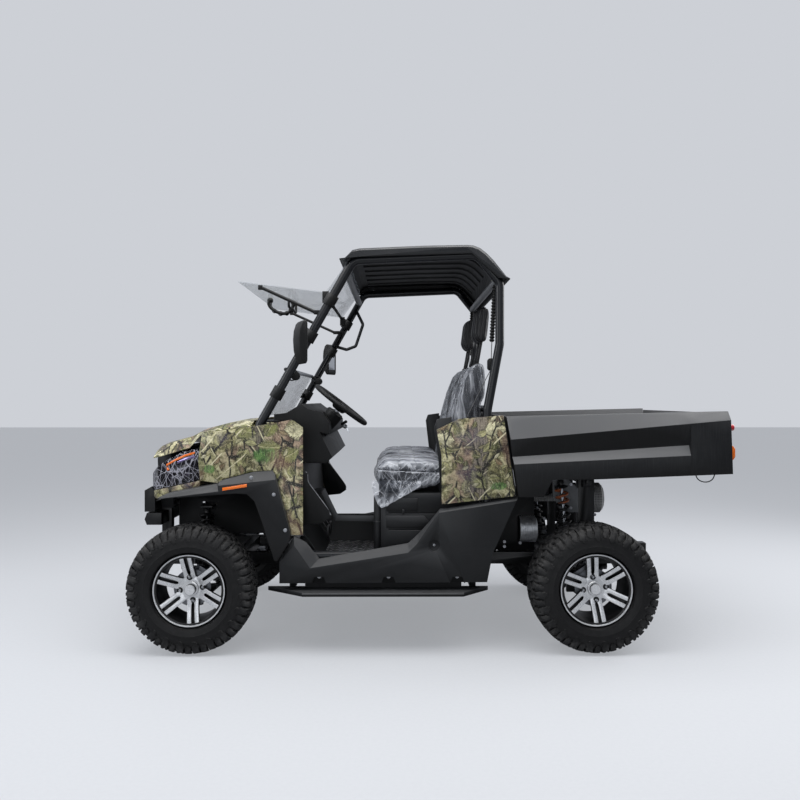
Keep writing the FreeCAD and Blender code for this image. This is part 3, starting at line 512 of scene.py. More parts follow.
def brushed_metal(name, colour, roughness=0.3, scratch=0.25, scale=(40.0, 900.0, 40.0), spots=0.3):
    """Bare metal with machining lines and dull spots."""
    f = Finish(name, colour, roughness, 1.0)
    lines = f.noise(1.0, 3.0, vector=f.mapped(scale=scale))
    dull = f.between(f.noise(60.0, 4.0), 0.5, 0.7)
    dark = toned(colour, 0.6)
    f.set("Base Color", f.mix(f.times(dull, spots), colour, dark))
    f.set("Roughness", f.plus(f.times(lines, 0.2), roughness - 0.1))
    f.set("Normal", f.relief(lines, scratch, 0.0003))
    return f.material


def about_hub(f, centre_x):
    """Distance from a hub and angle round it."""
    local = f.mapped(shift=(-(centre_x + CAB_SHIFT) / 1000, 0, -HUB_HEIGHT / 1000))
    flat = f.vector("MULTIPLY", local, (1, 0, 1))
    x, _, z = f.split(local)
    return f.length(flat), f.math("ARCTAN2", x, z)


def wheel_face(name, centre_x):
    """Machined alloy whose turning marks run round the hub, under a clear coat."""
    f = Finish(name, rgb(226, 228, 230), 0.25, 0.6, coat=(0.4, 0.08))
    radius = about_hub(f, centre_x)[0]
    rings = f.noise(1.0, 2.0, vector=f.node("CombineXYZ", X=f.times(radius, 2400.0))[0])
    cloud = f.noise(45.0, 4.0)
    f.set("Base Color", f.mix(cloud, rgb(204, 206, 209), rgb(244, 245, 246)))
    f.set("Roughness", f.plus(f.times(rings, 0.16), 0.2))
    f.set("Normal", f.relief(rings, 0.3, 0.0003, f.relief(cloud, 0.1, 0.001)))
    return f.material


def tyre_rubber(name, centre_x):
    """Dark rubber, matt on the tread and a little smoother on the sidewall, with fine ribs."""
    f = Finish(name, rgb(20, 20, 21), 0.7, specular=0.3)
    radius, angle = about_hub(f, centre_x)
    wall = f.between(radius, 0.246, 0.232)
    rings = f.math("SINE", f.times(radius, 3100.0))
    ticks = f.math("SINE", f.times(angle, 190.0))
    band = f.times(f.between(radius, 0.196, 0.199), f.between(radius, 0.216, 0.213))
    ribs = f.plus(f.times(rings, f.times(wall, 0.12)), f.times(ticks, f.times(band, 0.35)))
    grit = f.noise(480.0, 3.0)
    dust = f.between(f.noise(26.0, 5.0, roughness=0.7), 0.45, 0.75)
    tread = f.between(radius, 0.238, 0.27)
    sipes = f.math("SINE", f.times(angle, 130.0))
    shade = f.mix(tread, rgb(12, 12, 13), rgb(32, 32, 33))
    shade = f.mix(f.times(dust, f.plus(f.times(tread, 0.6), 0.06)), shade, rgb(78, 77, 76))
    f.set("Base Color", shade)
    f.set("Roughness", f.plus(f.times(tread, 0.22), f.plus(0.38, f.times(grit, 0.1))))
    bars = f.plus(ribs, f.times(sipes, f.times(tread, 0.14)))
    f.set("Normal", f.relief(grit, 0.3, 0.0006, f.relief(bars, 0.5, 0.0012)))
    return f.material


def camo(name, across, settings):
    """A printed woodland film: bark, blurred ground, leaves, twigs and grass under a clear coat.
    across is side for upright panels and top for the hood, and says how the print is wrapped."""
    f = Finish(name, rgb(120, 116, 84), 0.4, specular=0.4, coat=(0.2, 0.15))
    x, y, z = f.split(f.place)
    if across == "top":
        height = f.times(f.math("ARCTAN2", y, f.minus(z, 0.45)), 0.66)
    else:
        height = z
    spread = f.node("CombineXYZ", X=x, Y=height)[0]
    bent = f.bent(spread, 6.0, 3.0, (0.035, 0.035, 0))

    soft = f.noise(15.0, 8.0, vector=bent, roughness=0.7, distortion=0.4)
    ground = f.ramp(soft, (0.34, rgb(18, 16, 12)), (0.42, rgb(76, 73, 46)), (0.48, rgb(140, 136, 94)),
                    (0.55, rgb(206, 200, 160)), (0.66, rgb(112, 111, 70)))
    grey = f.noise(3.6, 3.0, vector=f.mapped(spread, shift=(3.7, 1.9, 0)))
    litter = f.ramp(soft, (0.36, rgb(34, 27, 24)), (0.47, rgb(104, 84, 70)), (0.56, rgb(164, 142, 120)),
                    (0.66, rgb(104, 92, 76)))
    tone = f.mix(f.between(grey, 0.5, 0.58), ground, litter)

    bark = f.noise(1.0, 7.0, vector=f.mapped(bent, scale=(130.0, 9.0, 1)), roughness=0.78)
    bark_colour = f.ramp(bark, (0.36, rgb(22, 20, 19)), (0.46, rgb(74, 67, 62)), (0.56, rgb(138, 128, 114)),
                         (0.66, rgb(92, 84, 78)))
    leaning = f.mapped(bent, scale=(6.0, 0.8, 1), turn=(0, 0, 0.14), shift=(0.6, 0, 0))
    trunk_line = f.noise(1.0, 2.0, vector=leaning)
    trunk = f.between(trunk_line, 0.595, 0.61)
    tone = f.mix(f.times(f.between(trunk_line, 0.56, 0.595), 0.6), tone, rgb(24, 22, 18))
    tone = f.mix(trunk, tone, bark_colour)

    def leaves(under, scale, long, wide, shift, turn, shades, amount, lobes=0.0):
        """One layer of leaves, each turned its own way and tinted its own shade, over a soft shadow."""
        field = f.mapped(bent, scale=(scale, scale, 1), turn=(0, 0, turn), shift=(*shift, 0))
        cell = f.node("TexVoronoi", voronoi_dimensions="2D", Vector=field, Scale=1.0, Randomness=0.75)
        own_turn, own_chance, own_shade = f.node("SeparateColor", Color=cell["Color"])
        local = f.vector("SUBTRACT", field, cell["Position"])
        swung = f.node("VectorRotate", rotation_type="Z_AXIS", Vector=local,
                       Angle=f.times(own_turn, 6.283))[0]
        reach, aside, _ = f.split(swung)
        along = f.math("DIVIDE", reach, long)
        square = f.times(along, along)
        signed = f.minus(aside, f.times(square, 0.07))
        off = f.math("ABSOLUTE", signed)
        half = f.times(f.minus(1.0, square), wide)
        if lobes:
            teeth = f.math("SINE", f.times(f.minus(reach, off), 44.0))
            half = f.times(half, f.plus(1.0, f.times(teeth, lobes)))
        inside = f.minus(half, off)
        here = f.between(own_chance, 1.0 - amount, 1.02 - amount)
        mask = f.times(f.between(inside, 0.0, 0.012), here)
        ribs = f.between(f.math("SINE", f.times(f.minus(reach, f.times(off, 0.8)), 85.0)), 0.3, 1.0)
        shade = f.ramp(own_shade, *[(0.04 + 0.3 * n, c) for n, c in enumerate(shades)])
        fleck = f.noise(60.0, 4.0, vector=spread, roughness=0.7)
        shade = f.mix(f.times(f.between(fleck, 0.6, 0.4), 0.55), shade, rgb(58, 54, 34))
        shade = f.mix(f.times(f.between(signed, -0.01, 0.012), 0.32), shade, rgb(46, 46, 26))
        shade = f.mix(f.times(ribs, 0.2), shade, rgb(48, 46, 28))
        shade = f.mix(f.times(f.between(off, 0.018, 0.006), 0.55), shade, rgb(206, 198, 158))
        shade = f.mix(f.times(f.between(inside, 0.03, 0.0), 0.6), shade, rgb(34, 31, 20))
        gloom = f.times(f.between(inside, -0.12, -0.01), 0.62)
        darker = f.mix(f.times(gloom, here), under, rgb(20, 18, 14))
        return f.mix(mask, darker, shade)

    def branches(under, scale, width, shift, turn, colour, gate):
        """Crooked sticks that cross one another and break off."""
        field = f.mapped(bent, scale=(scale, scale * 0.45, 1), turn=(0, 0, turn), shift=(*shift, 0))
        net = f.node("TexVoronoi", voronoi_dimensions="2D", feature="DISTANCE_TO_EDGE", Vector=field,
                     Scale=1.0)
        broken = f.noise(4.0, 2.0, vector=f.mapped(spread, shift=(*shift, 3.0)))
        line = f.times(f.between(net["Distance"], width, width * 0.45),
                       f.between(broken, gate, gate + 0.03))
        return f.mix(line, under, colour)

    def straws(under, turn, scale, width, shift, colour, gate):
        """Thin grass that runs one way, broken up along its length."""
        field = f.mapped(spread, scale=(1, 1, 1), turn=(0, 0, turn), shift=(*shift, 0))
        wave = f.node("TexWave", Vector=field, Scale=scale, Distortion=3.4, Detail=1.0, Detail_Scale=0.7)
        broken = f.noise(1.0, 2.0, vector=f.mapped(field, scale=(19.0, 7.0, 1)))
        line = f.times(f.between(wave["Fac"], 1.0 - width, 1.0 - width * 0.4),
                       f.between(broken, gate, gate + 0.04))
        return f.mix(line, under, colour)

    olive = (rgb(84, 90, 46), rgb(140, 142, 88), rgb(184, 180, 130))
    khaki = (rgb(186, 184, 128), rgb(126, 130, 72), rgb(224, 219, 180))
    brown = (rgb(116, 92, 64), rgb(152, 128, 100), rgb(96, 98, 54))
    pale = (rgb(222, 216, 182), rgb(160, 158, 108), rgb(126, 118, 84))
    tone = branches(tone, 9.0, 0.05, (0.4, 2.1), 0.5, rgb(22, 19, 15), 0.4)
    tone = leaves(tone, 15.0, 0.47, 0.22, (0.3, 0.8), 0.4, olive, 0.55)
    tone = straws(tone, 0.55, 5.0, 0.022, (0.2, 0.1), rgb(192, 186, 152), 0.53)
    tone = leaves(tone, 9.0, 0.5, 0.3, (4.1, 2.6), 1.3, khaki, 0.36, 0.22)
    tone = branches(tone, 6.0, 0.03, (5.0, 3.4), -0.6, rgb(18, 16, 13), 0.45)
    tone = leaves(tone, 19.0, 0.45, 0.2, (8.4, 6.2), 2.4, brown, 0.3, 0.15)
    tone = straws(tone, -0.8, 4.0, 0.02, (2.2, 1.3), rgb(212, 205, 172), 0.55)
    tone = leaves(tone, 24.0, 0.46, 0.18, (2.4, 9.6), 0.9, pale, 0.3)

    blade = f.noise(1.0, 5.0, vector=f.mapped(bent, scale=(70.0, 26.0, 1), turn=(0, 0, 0.5)), roughness=0.6)
    fern = f.ramp(blade, (0.4, rgb(34, 66, 30)), (0.52, rgb(74, 120, 54)), (0.64, rgb(120, 158, 86)))
    ragged = f.times(f.noise(34.0, 4.0, vector=spread, roughness=0.7), 1.3)
    for fern_x, fern_z, wide, tall in ((0.785, 0.93, 0.06, 0.036), (-0.315, 0.785, 0.04, 0.018),
                                       (1.06, 0.86, 0.03, 0.02)):
        away = f.vector("MULTIPLY", f.mapped(spread, shift=(-fern_x, -fern_z, 0)), (1 / wide, 1 / tall, 0))
        near = f.plus(f.length(away), ragged)
        tone = f.mix(f.times(f.between(near, 1.75, 1.45), 0.85), tone, fern)
    rust = f.noise(4.1, 3.0, vector=f.mapped(spread, shift=(12.4, 4.6, 0)))
    tone = f.mix(f.times(f.between(rust, 0.62, 0.68), 0.4), tone, rgb(128, 92, 76))
    plum = f.noise(5.2, 3.0, vector=f.mapped(spread, shift=(2.4, 14.6, 0)))
    tone = f.mix(f.times(f.between(plum, 0.6, 0.66), 0.45), tone, rgb(84, 76, 92))
    speck = f.noise(150.0, 4.0, vector=spread, roughness=0.75)
    tone = f.mix(f.times(f.between(speck, 0.54, 0.64), 0.35), tone, rgb(206, 200, 170))
    tone = f.mix(f.times(f.between(speck, 0.46, 0.36), 0.5), tone, rgb(28, 26, 21))
    tone = f.mix(settings.print_tint_share, tone, (*settings.print_tint, 1))
    f.set("Base Color", tone)
    f.set("Roughness", f.plus(f.times(f.noise(8.0, 3.0), 0.15), 0.3))
    f.set("Normal", f.relief(f.noise(900.0, 2.0), 0.08, 0.0003, f.relief(f.noise(14.0, 2.0), 0.08, 0.003)))
    return f.material


def clear_sheet(name, colour, alpha):
    """Clear polycarbonate: seen mostly through, with hazy smears, a gloss, and a painted sheen that makes it
    paler towards grazing angles.
    """
    f = Finish(name, colour, 0.04)
    smear = f.between(f.noise(4.0, 5.0, roughness=0.7), 0.5, 0.8)
    grazing_sheen = f.node("LayerWeight", Blend=0.35)["Facing"]
    # Painted sheen: the sheet grows paler and less clear where it is seen at a grazing angle.
    f.set("Alpha", f.plus(f.times(grazing_sheen, 0.35), f.plus(alpha, f.times(smear, 0.06))))
    f.set("Roughness", f.plus(f.times(smear, 0.12), 0.04))
    f.set("Normal", f.relief(f.noise(6.0, 2.0), 0.05, 0.003))
    return f.material


def lamp_lens(name, colour, alpha):
    """A dark lamp cover with fine pale moulded lines that cross."""
    f = Finish(name, colour, 0.05)
    lines = 0.0
    for turn, often, shift in ((0.5, 34.0, 0.0), (-0.8, 27.0, 3.1), (0.1, 22.0, 7.4)):
        field = f.mapped(scale=(often, often, often), turn=(0, turn, 0), shift=(shift, 0, shift))
        net = f.node("TexVoronoi", feature="DISTANCE_TO_EDGE", Scale=1.0,
                     Vector=f.vector("MULTIPLY", field, (1.0, 0.5, 0.35)))
        lines = f.math("MAXIMUM", lines, f.between(net["Distance"], 0.03, 0.012))
    f.set("Base Color", f.mix(lines, colour, rgb(158, 158, 168)))
    f.set("Alpha", f.plus(f.times(lines, 0.4), alpha))
    f.set("Normal", f.relief(lines, 0.3, 0.001, f.relief(f.noise(8.0, 2.0), 0.05, 0.003)))
    return f.material


def woven_steel(name):
    """Weathered steel under a grid of fine slots, as on the cover of a hot silencer; the slots are only
    bumped in, and painted near black as painted shade.
    """
    f = Finish(name, rgb(168, 168, 168), 0.5, 0.15)
    x, y, z = f.split(f.mapped(shift=(0, 0, -0.65)))
    angle = f.math("ARCTAN2", y, z)
    slots = f.math("SINE", f.times(angle, 56.0))
    rows = f.math("SINE", f.times(x, 757.0))
    # Painted shade: the slots are made near black where shade would fall inside them.
    slot_shade = f.times(f.between(slots, 0.0, 0.5), f.between(rows, -0.4, 0.2))
    heat = f.noise(22.0, 4.0)
    f.set("Base Color", f.mix(slot_shade, f.mix(heat, rgb(150, 149, 147), rgb(214, 214, 214)), rgb(22, 22, 22)))
    f.set("Roughness", f.plus(f.times(heat, 0.25), 0.35))
    f.set("Normal", f.relief(slot_shade, -0.6, 0.002))
    return f.material


def wrap_film(name, run, haze, turn=(0, 0, 0)):
    """The clear film round a new seat: long soft folds over the dark cover, with bright ridges between that
    are painted highlights, painted shade along one line of creases, and a painted sheen at grazing angles.
    run holds how often the folds repeat along each axis, the smallest along the folds."""
    f = Finish(name, rgb(206, 210, 218), 0.16, specular=0.6)
    bent = f.bent(f.place, 5.0, 2.0, (0.04, 0.04, 0.04))

    def folds(often, shift, detail):
        field = f.mapped(f.mapped(bent, turn=turn), scale=[r * often for r in run],
                         shift=(shift, shift, shift))
        return f.noise(1.0, detail, vector=field, roughness=0.45)

    broad = folds(1.0, 0.0, 1.0)
    other = folds(2.3, 4.2, 1.5)
    small = folds(5.0, 8.1, 2.0)
    # Painted light: the broad fold tops, the ridges and the glints are made paler and less clear as painted
    # highlights, and one line of creases is darkened as painted shade.
    soft = f.between(broad, 0.4, 0.62)
    wide, fine, thin = f.ridge(broad, 11.0, 1.5), f.ridge(other, 10.0, 2.0), f.ridge(small, 12.0, 2.0)
    dark = f.between(f.math("ABSOLUTE", f.minus(other, 0.62)), 0.05, 0.0)
    glints = f.plus(f.times(fine, 0.22), f.times(thin, 0.1))
    light = f.plus(f.times(soft, 0.34), f.plus(f.times(wide, 0.3), glints))
    light = f.times(light, f.minus(1.0, f.times(dark, 0.8)))
    # Painted sheen: the film grows less clear towards grazing angles.
    grazing_sheen = f.node("LayerWeight", Blend=0.3)["Facing"]
    clear = f.plus(haze, f.times(grazing_sheen, 0.16))
    f.set("Alpha", f.math("MINIMUM", f.plus(clear, light), 0.96))
    f.set("Base Color", f.mix(light, rgb(126, 131, 142), rgb(232, 235, 241)))
    height = f.plus(f.times(broad, 2.0), f.plus(wide, f.times(fine, 0.6)))
    f.set("Normal", f.relief(height, 0.6, 0.005))
    f.set("Roughness", f.plus(f.times(other, 0.2), 0.1))
    return f.material


def side_film(name):
    """The film at the cushion's side: milky along its edges and its hem, and painted paler there as a
    highlight, with slanting creases that meet, painted bright as highlights.
    """
    f = Finish(name, rgb(206, 210, 218), 0.14, specular=0.6)
    x, _, z = f.split(f.place)
    forward = f.minus(x, (HEM_TIP_X + CAB_SHIFT) / 1000)
    hem = f.math("MAXIMUM", f.times(forward, 2.2), f.times(forward, -0.56))
    above_hem = f.minus(f.minus(z, HEM_TIP_Z / 1000), hem)
    wander = f.times(f.noise(26.0, 2.0), 0.02)
    hem_band = f.between(f.plus(above_hem, wander), 0.05, 0.02)
    top_band = f.between(f.plus(z, wander), 0.862, 0.882)
    front_band = f.between(f.plus(forward, wander), 0.014, 0.04)
    edge = f.math("MAXIMUM", hem_band, f.math("MAXIMUM", top_band, f.times(front_band, 0.8)))
    creases = 0.0
    for turn, shift in ((0.75, 0.0), (-0.7, 5.2), (0.2, 9.7)):
        slant = f.mapped(f.mapped(turn=(0, turn, 0)), scale=(24.0, 8.0, 7.0), shift=(shift, shift, shift))
        creases = f.math("MAXIMUM", creases, f.ridge(f.noise(1.0, 1.6, vector=slant), 13.0, 2.2))
    # Painted highlight: the edges, the hem and the crease ridges are made paler and less clear; along the
    # edges and the hem this is also the film's own milkiness.
    light = f.plus(f.times(edge, 0.42), f.times(creases, 0.44))
    f.set("Alpha", f.math("MINIMUM", f.plus(0.12, light), 0.95))
    f.set("Base Color", f.mix(light, rgb(112, 118, 130), rgb(236, 239, 245)))
    f.set("Normal", f.relief(creases, 0.7, 0.005))
    f.set("Roughness", f.plus(f.times(creases, 0.15), 0.1))
    return f.material


def vinyl(name, colour):
    """Black upholstery vinyl with a pebbled grain."""
    f = Finish(name, colour, 0.42, specular=0.4)
    pebble = f.node("TexVoronoi", feature="SMOOTH_F1", Vector=f.place, Scale=480.0, Smoothness=0.4)[0]
    crease = f.noise(24.0, 4.0)
    f.set("Base Color", f.mix(f.between(crease, 0.4, 0.7), colour, toned(colour, 1.6)))
    f.set("Roughness", f.plus(f.times(crease, 0.2), 0.32))
    f.set("Normal", f.relief(pebble, 0.35, 0.0005, f.relief(crease, 0.15, 0.003)))
    return f.material


def webbing(name):
    """Woven belt webbing with cross ribs."""
    f = Finish(name, rgb(24, 24, 26), 0.7)
    ribs = f.math("SINE", f.times(f.split(f.place)[2], 2600.0))
    fuzz = f.noise(700.0, 2.0)
    f.set("Base Color", f.mix(fuzz, rgb(18, 18, 20), rgb(42, 42, 45)))
    f.set("Normal", f.relief(f.plus(ribs, fuzz), 0.4, 0.0006))
    f.set("Sheen Weight", 0.3)
    return f.material


def lens(name, colour):
    """Coloured lamp plastic with moulded prisms."""
    f = Finish(name, colour, 0.12, coat=(0.6, 0.05))
    x, _, z = f.split(f.place)
    wave = f.times(f.math("SINE", f.times(x, 840.0)), f.math("SINE", f.times(z, 840.0)))
    f.set("Base Color", f.mix(f.between(wave, -0.6, 0.6), toned(colour, 0.72), colour))
    f.set("Normal", f.relief(wave, 0.3, 0.001))
    return f.material


def highlit_tread_plate(name):
    """Raised lozenges on the cab floor, with a near white painted highlight on their tops, in patches, where
    the floor is flat and low.
    """
    f = Finish(name, rgb(30, 31, 33), 0.5, specular=0.35)
    x, y, z = f.split(f.place)
    a, b = [f.math("SINE", f.times(f.math(way, x, y), 130.0)) for way in ("ADD", "SUBTRACT")]
    bar = f.math("MAXIMUM", f.times(f.between(a, 0.7, 0.95), f.between(b, -0.3, 0.1)),
                 f.times(f.between(b, 0.7, 0.95), f.between(a, 0.1, -0.3)))
    level = f.split(f.node("NewGeometry")["Normal"])[2]
    flat = f.times(f.between(level, 0.7, 0.9), f.between(z, 0.47, 0.46))
    bar = f.times(bar, flat)
    scuff = f.between(f.noise(30.0, 4.0), 0.36, 0.6)
    # Painted highlight: the lozenge tops are made near white in patches on the floor's flat, low faces.
    f.set("Base Color", f.mix(f.times(bar, scuff), rgb(20, 21, 23), rgb(236, 238, 241)))
    f.set("Roughness", f.minus(0.52, f.times(bar, 0.25)))
    f.set("Normal", f.relief(bar, 0.8, 0.003, f.relief(f.noise(500.0, 2.0), 0.2, 0.0006)))
    return f.material


def make_finishes(settings):
    """All the finishes, made once."""
    shade = rgb(*[255 * c for c in settings.plastic_shade])
    finishes.update({
        "camo_side": camo("camo_side_panels", "side", settings),
        "camo_top": camo("camo_hood", "top", settings),
        "plastic": moulded_plastic("black_body_plastic", shade, 0.46),
        "bed_plastic": moulded_plastic("bed_plastic", shade, 0.4, streaks=0.5, top_light=0.95),
        "roof_plastic": moulded_plastic("roof_plastic", rgb(19, 21, 24), 0.28, grain=0.12, top_light=0.3),
        # The cab plastic is a darker copy of the body plastic: partly its own darker black, partly painted
        # shade for the parts that sit in shade.
        "dark_and_shaded_plastic": moulded_plastic("dark_and_shaded_cab_plastic", rgb(10, 11, 12), 0.5, top_light=0.25),
        "frame": powder_coat("frame_paint", rgb(10, 11, 12)),
        "tube": powder_coat("cage_paint", rgb(17, 19, 23), 0.3),
        "cross_grey": powder_coat("cross_tube_paint", rgb(112, 114, 117), 0.4),
        "tower_grey": powder_coat("tower_paint", rgb(104, 106, 108), 0.4),
        "trim_grey": brushed_metal("pane_rail_metal", rgb(186, 189, 194), 0.3, 0.1),
        # The drum's metal is much paler than the other cast parts: painted light for the fill that falls on
        # it under the bed.
        "drum": brushed_metal("finned_drum_brightened", rgb(226, 228, 231), 0.45, scale=(60.0, 60.0, 60.0), spots=0.5),
        "mesh": woven_steel("silencer_mesh"),
        # The pale edge finish is a painted highlight, used for the line along the knee panel's edge.
        "edge_highlight": powder_coat("pale_edge_highlight", rgb(138, 141, 146), 0.35),
        "steel": brushed_metal("zinc_steel", rgb(176, 178, 182), 0.32),
        "cast": brushed_metal("cast_aluminium", rgb(118, 120, 124), 0.5, scale=(90.0, 90.0, 90.0), spots=0.6),
        "spring": powder_coat("spring_paint", rgb(150, 82, 48), 0.3),
        "rod": brushed_metal("damper_rod", rgb(205, 208, 212), 0.14, 0.1),
        "disc": brushed_metal("brake_disc_steel", rgb(120, 122, 126), 0.4),
        "alloy_black": powder_coat("wheel_black_paint", rgb(9, 9, 10), 0.36),
        "front_alloy": wheel_face("front_wheel_face", FRONT_AXLE),
        "rear_alloy": wheel_face("rear_wheel_face", REAR_AXLE),
        "front_rubber": tyre_rubber("front_tyre_rubber", FRONT_AXLE),
        "rear_rubber": tyre_rubber("rear_tyre_rubber", REAR_AXLE),
        "glass": clear_sheet("windshield_sheet", rgb(222, 228, 234), 0.12),
        "cushion_film": wrap_film("cushion_wrap_film", (2.4, 11.0, 9.0), 0.34, (0, 0.08, 0.12)),
        "side_film": side_film("cushion_side_film"),
        "back_film": wrap_film("backrest_wrap_film", (17.0, 17.0, 1.5), 0.13, (0, -0.16, 0)),
        "vinyl": vinyl("seat_vinyl", rgb(19, 19, 21)),
        "belt": webbing("belt_webbing"),
        "smoked": lamp_lens("headlamp_lens", rgb(22, 21, 28), 0.55),
        "lamp_inside": brushed_metal("lamp_reflector", rgb(104, 98, 116), 0.3, scale=(240.0, 240.0, 240.0)),
        "lamp_strip": brushed_metal("lamp_bright_strip", rgb(158, 146, 190), 0.2, scale=(30.0, 30.0, 300.0)),
        "amber": lens("amber_lens", rgb(255, 122, 12)),
        "red": lens("red_lens", rgb(196, 20, 34)),
        "mirror_glass": brushed_metal("mirror_glass", rgb(226, 229, 233), 0.1, 0.02, spots=0.05),
        "tread": highlit_tread_plate("floor_tread_highlit"),
    })


# Wheels and tyres

def tyre_lug(name, outline, low, high, edge, x, y, side):
    """One tread block: an outline of (along, radius) points seen from the side, cut to the shoulder."""
    piece = slab(name, [(x + a, HUB_HEIGHT + r) for a, r in outline], y + side * low, y + side * high)
    for vertex in piece.data.vertices:
        over = (vertex.co.z * 1000 - HUB_HEIGHT - 268) / 34
        reach = (vertex.co.y * 1000 - y) * side
        if reach > (low + high) / 2:
            limit = edge - max(0.0, over) ** 1.4 * 11
            vertex.co.y = (y + side * min(reach, limit)) / 1000
    return eased(outward(piece), 2.4, 1)


def make_tyre(name, x, y, half, rim_half, rubber):
    seat = rim_half - 14.3
    wall = [
        (152.4, 0), (152.4, seat), (169.5, seat + 1), (174, seat + 5), (181, half - 10), (196, half - 4),
        (205, half - 2.5), (208, half - 1.2), (211, half - 2.5), (232, half - 2), (252, half - 4),
        (268, half - 8), (280, half - 16), (288, half - 30), (290, 20), (290, 0),
    ]
    ring = wall + [(r, -a) for r, a in reversed(wall[1:-1])]
    pieces = [turned(name, ring + ring[:1], (x, y, HUB_HEIGHT), ACROSS, 72)]
    step = 2 * math.pi / LUG_COUNT
    long_lug = [(-17, 284), (-14, 302), (-1, 302), (3, 296), (8, 296), (10, 302), (19, 301), (15, 286),
                (19, 276), (21, 263), (11, 256), (13, 244), (8, 233), (-4, 229), (-13, 234), (-8, 246),
                (-17, 255), (-13, 267)]
    short_lug = [(-14, 287), (-17, 301.2), (0, 302), (13, 300.8), (9, 291), (15, 281), (9, 270), (-1, 262),
                 (-12, 266), (-7, 275), (-15, 280)]
    inner_lug = [(-16, 286), (-14, 301.2), (14, 301.2), (16, 286)]
    for side, offset in ((1, 0.0), (-1, 0.25)):
        for label, outline, low, high, edge, skew, turn in (
                ("long", long_lug, half - 60, half + 2, half - 0.4, 0.05, 0.0),
                ("short", short_lug, half - 52, half + 2, half - 1.4, -0.06, 0.5),
                ("inner", inner_lug, 6, half - 66, half, 0.35, 0.22),
                ("inner_b", inner_lug, 10, half - 60, half, -0.3, 0.72)):
            lug = tyre_lug(name + "_" + label, outline, low, high, edge, x, y, side)
            spot = Matrix.Translation(mm(x, y + side * (low + high) / 2, HUB_HEIGHT + 295))
            lug.data.transform(spot @ Matrix.Rotation(skew * side, 4, "Z") @ spot.inverted())
            for n in range(LUG_COUNT):
                pieces.append(turned_copy(lug, "lug", step * (n + turn + offset), (x, y, HUB_HEIGHT), ACROSS))
            bpy.data.objects.remove(lug)
    tyre = joined(pieces, name)
    for vertex in tyre.data.vertices:
        flat = Vector((vertex.co.x - mm(x, 0, 0).x, vertex.co.z - HUB_HEIGHT / 1000))
        if flat.length > TREAD_ROOT:
            crown = 0.021 * min(1.0, abs(vertex.co.y * 1000 - y) / half) ** 4
            crown *= min(1.0, (flat.length - TREAD_ROOT) / 0.04)
            flat = flat * ((min(flat.length, TYRE_REACH) - crown) / flat.length)
            vertex.co.x, vertex.co.z = mm(x, 0, 0).x + flat.x, HUB_HEIGHT / 1000 + flat.y
    painted(tyre, rubber)
    return smoothed(tyre, 35)


def dished(piece, x, depth):
    """Draws a wheel's face in towards its hub; the rim end of each spoke stays."""
    for vertex in piece.data.vertices:
        reach = math.hypot(vertex.co.x - mm(x, 0, 0).x, vertex.co.z - HUB_HEIGHT / 1000) * 1000
        vertex.co.y -= depth / 1000 * min(1.0, max(0.0, (SPOKE_FACE_END - reach) / SPOKE_DISH_RUN)) ** 1.15
    return piece


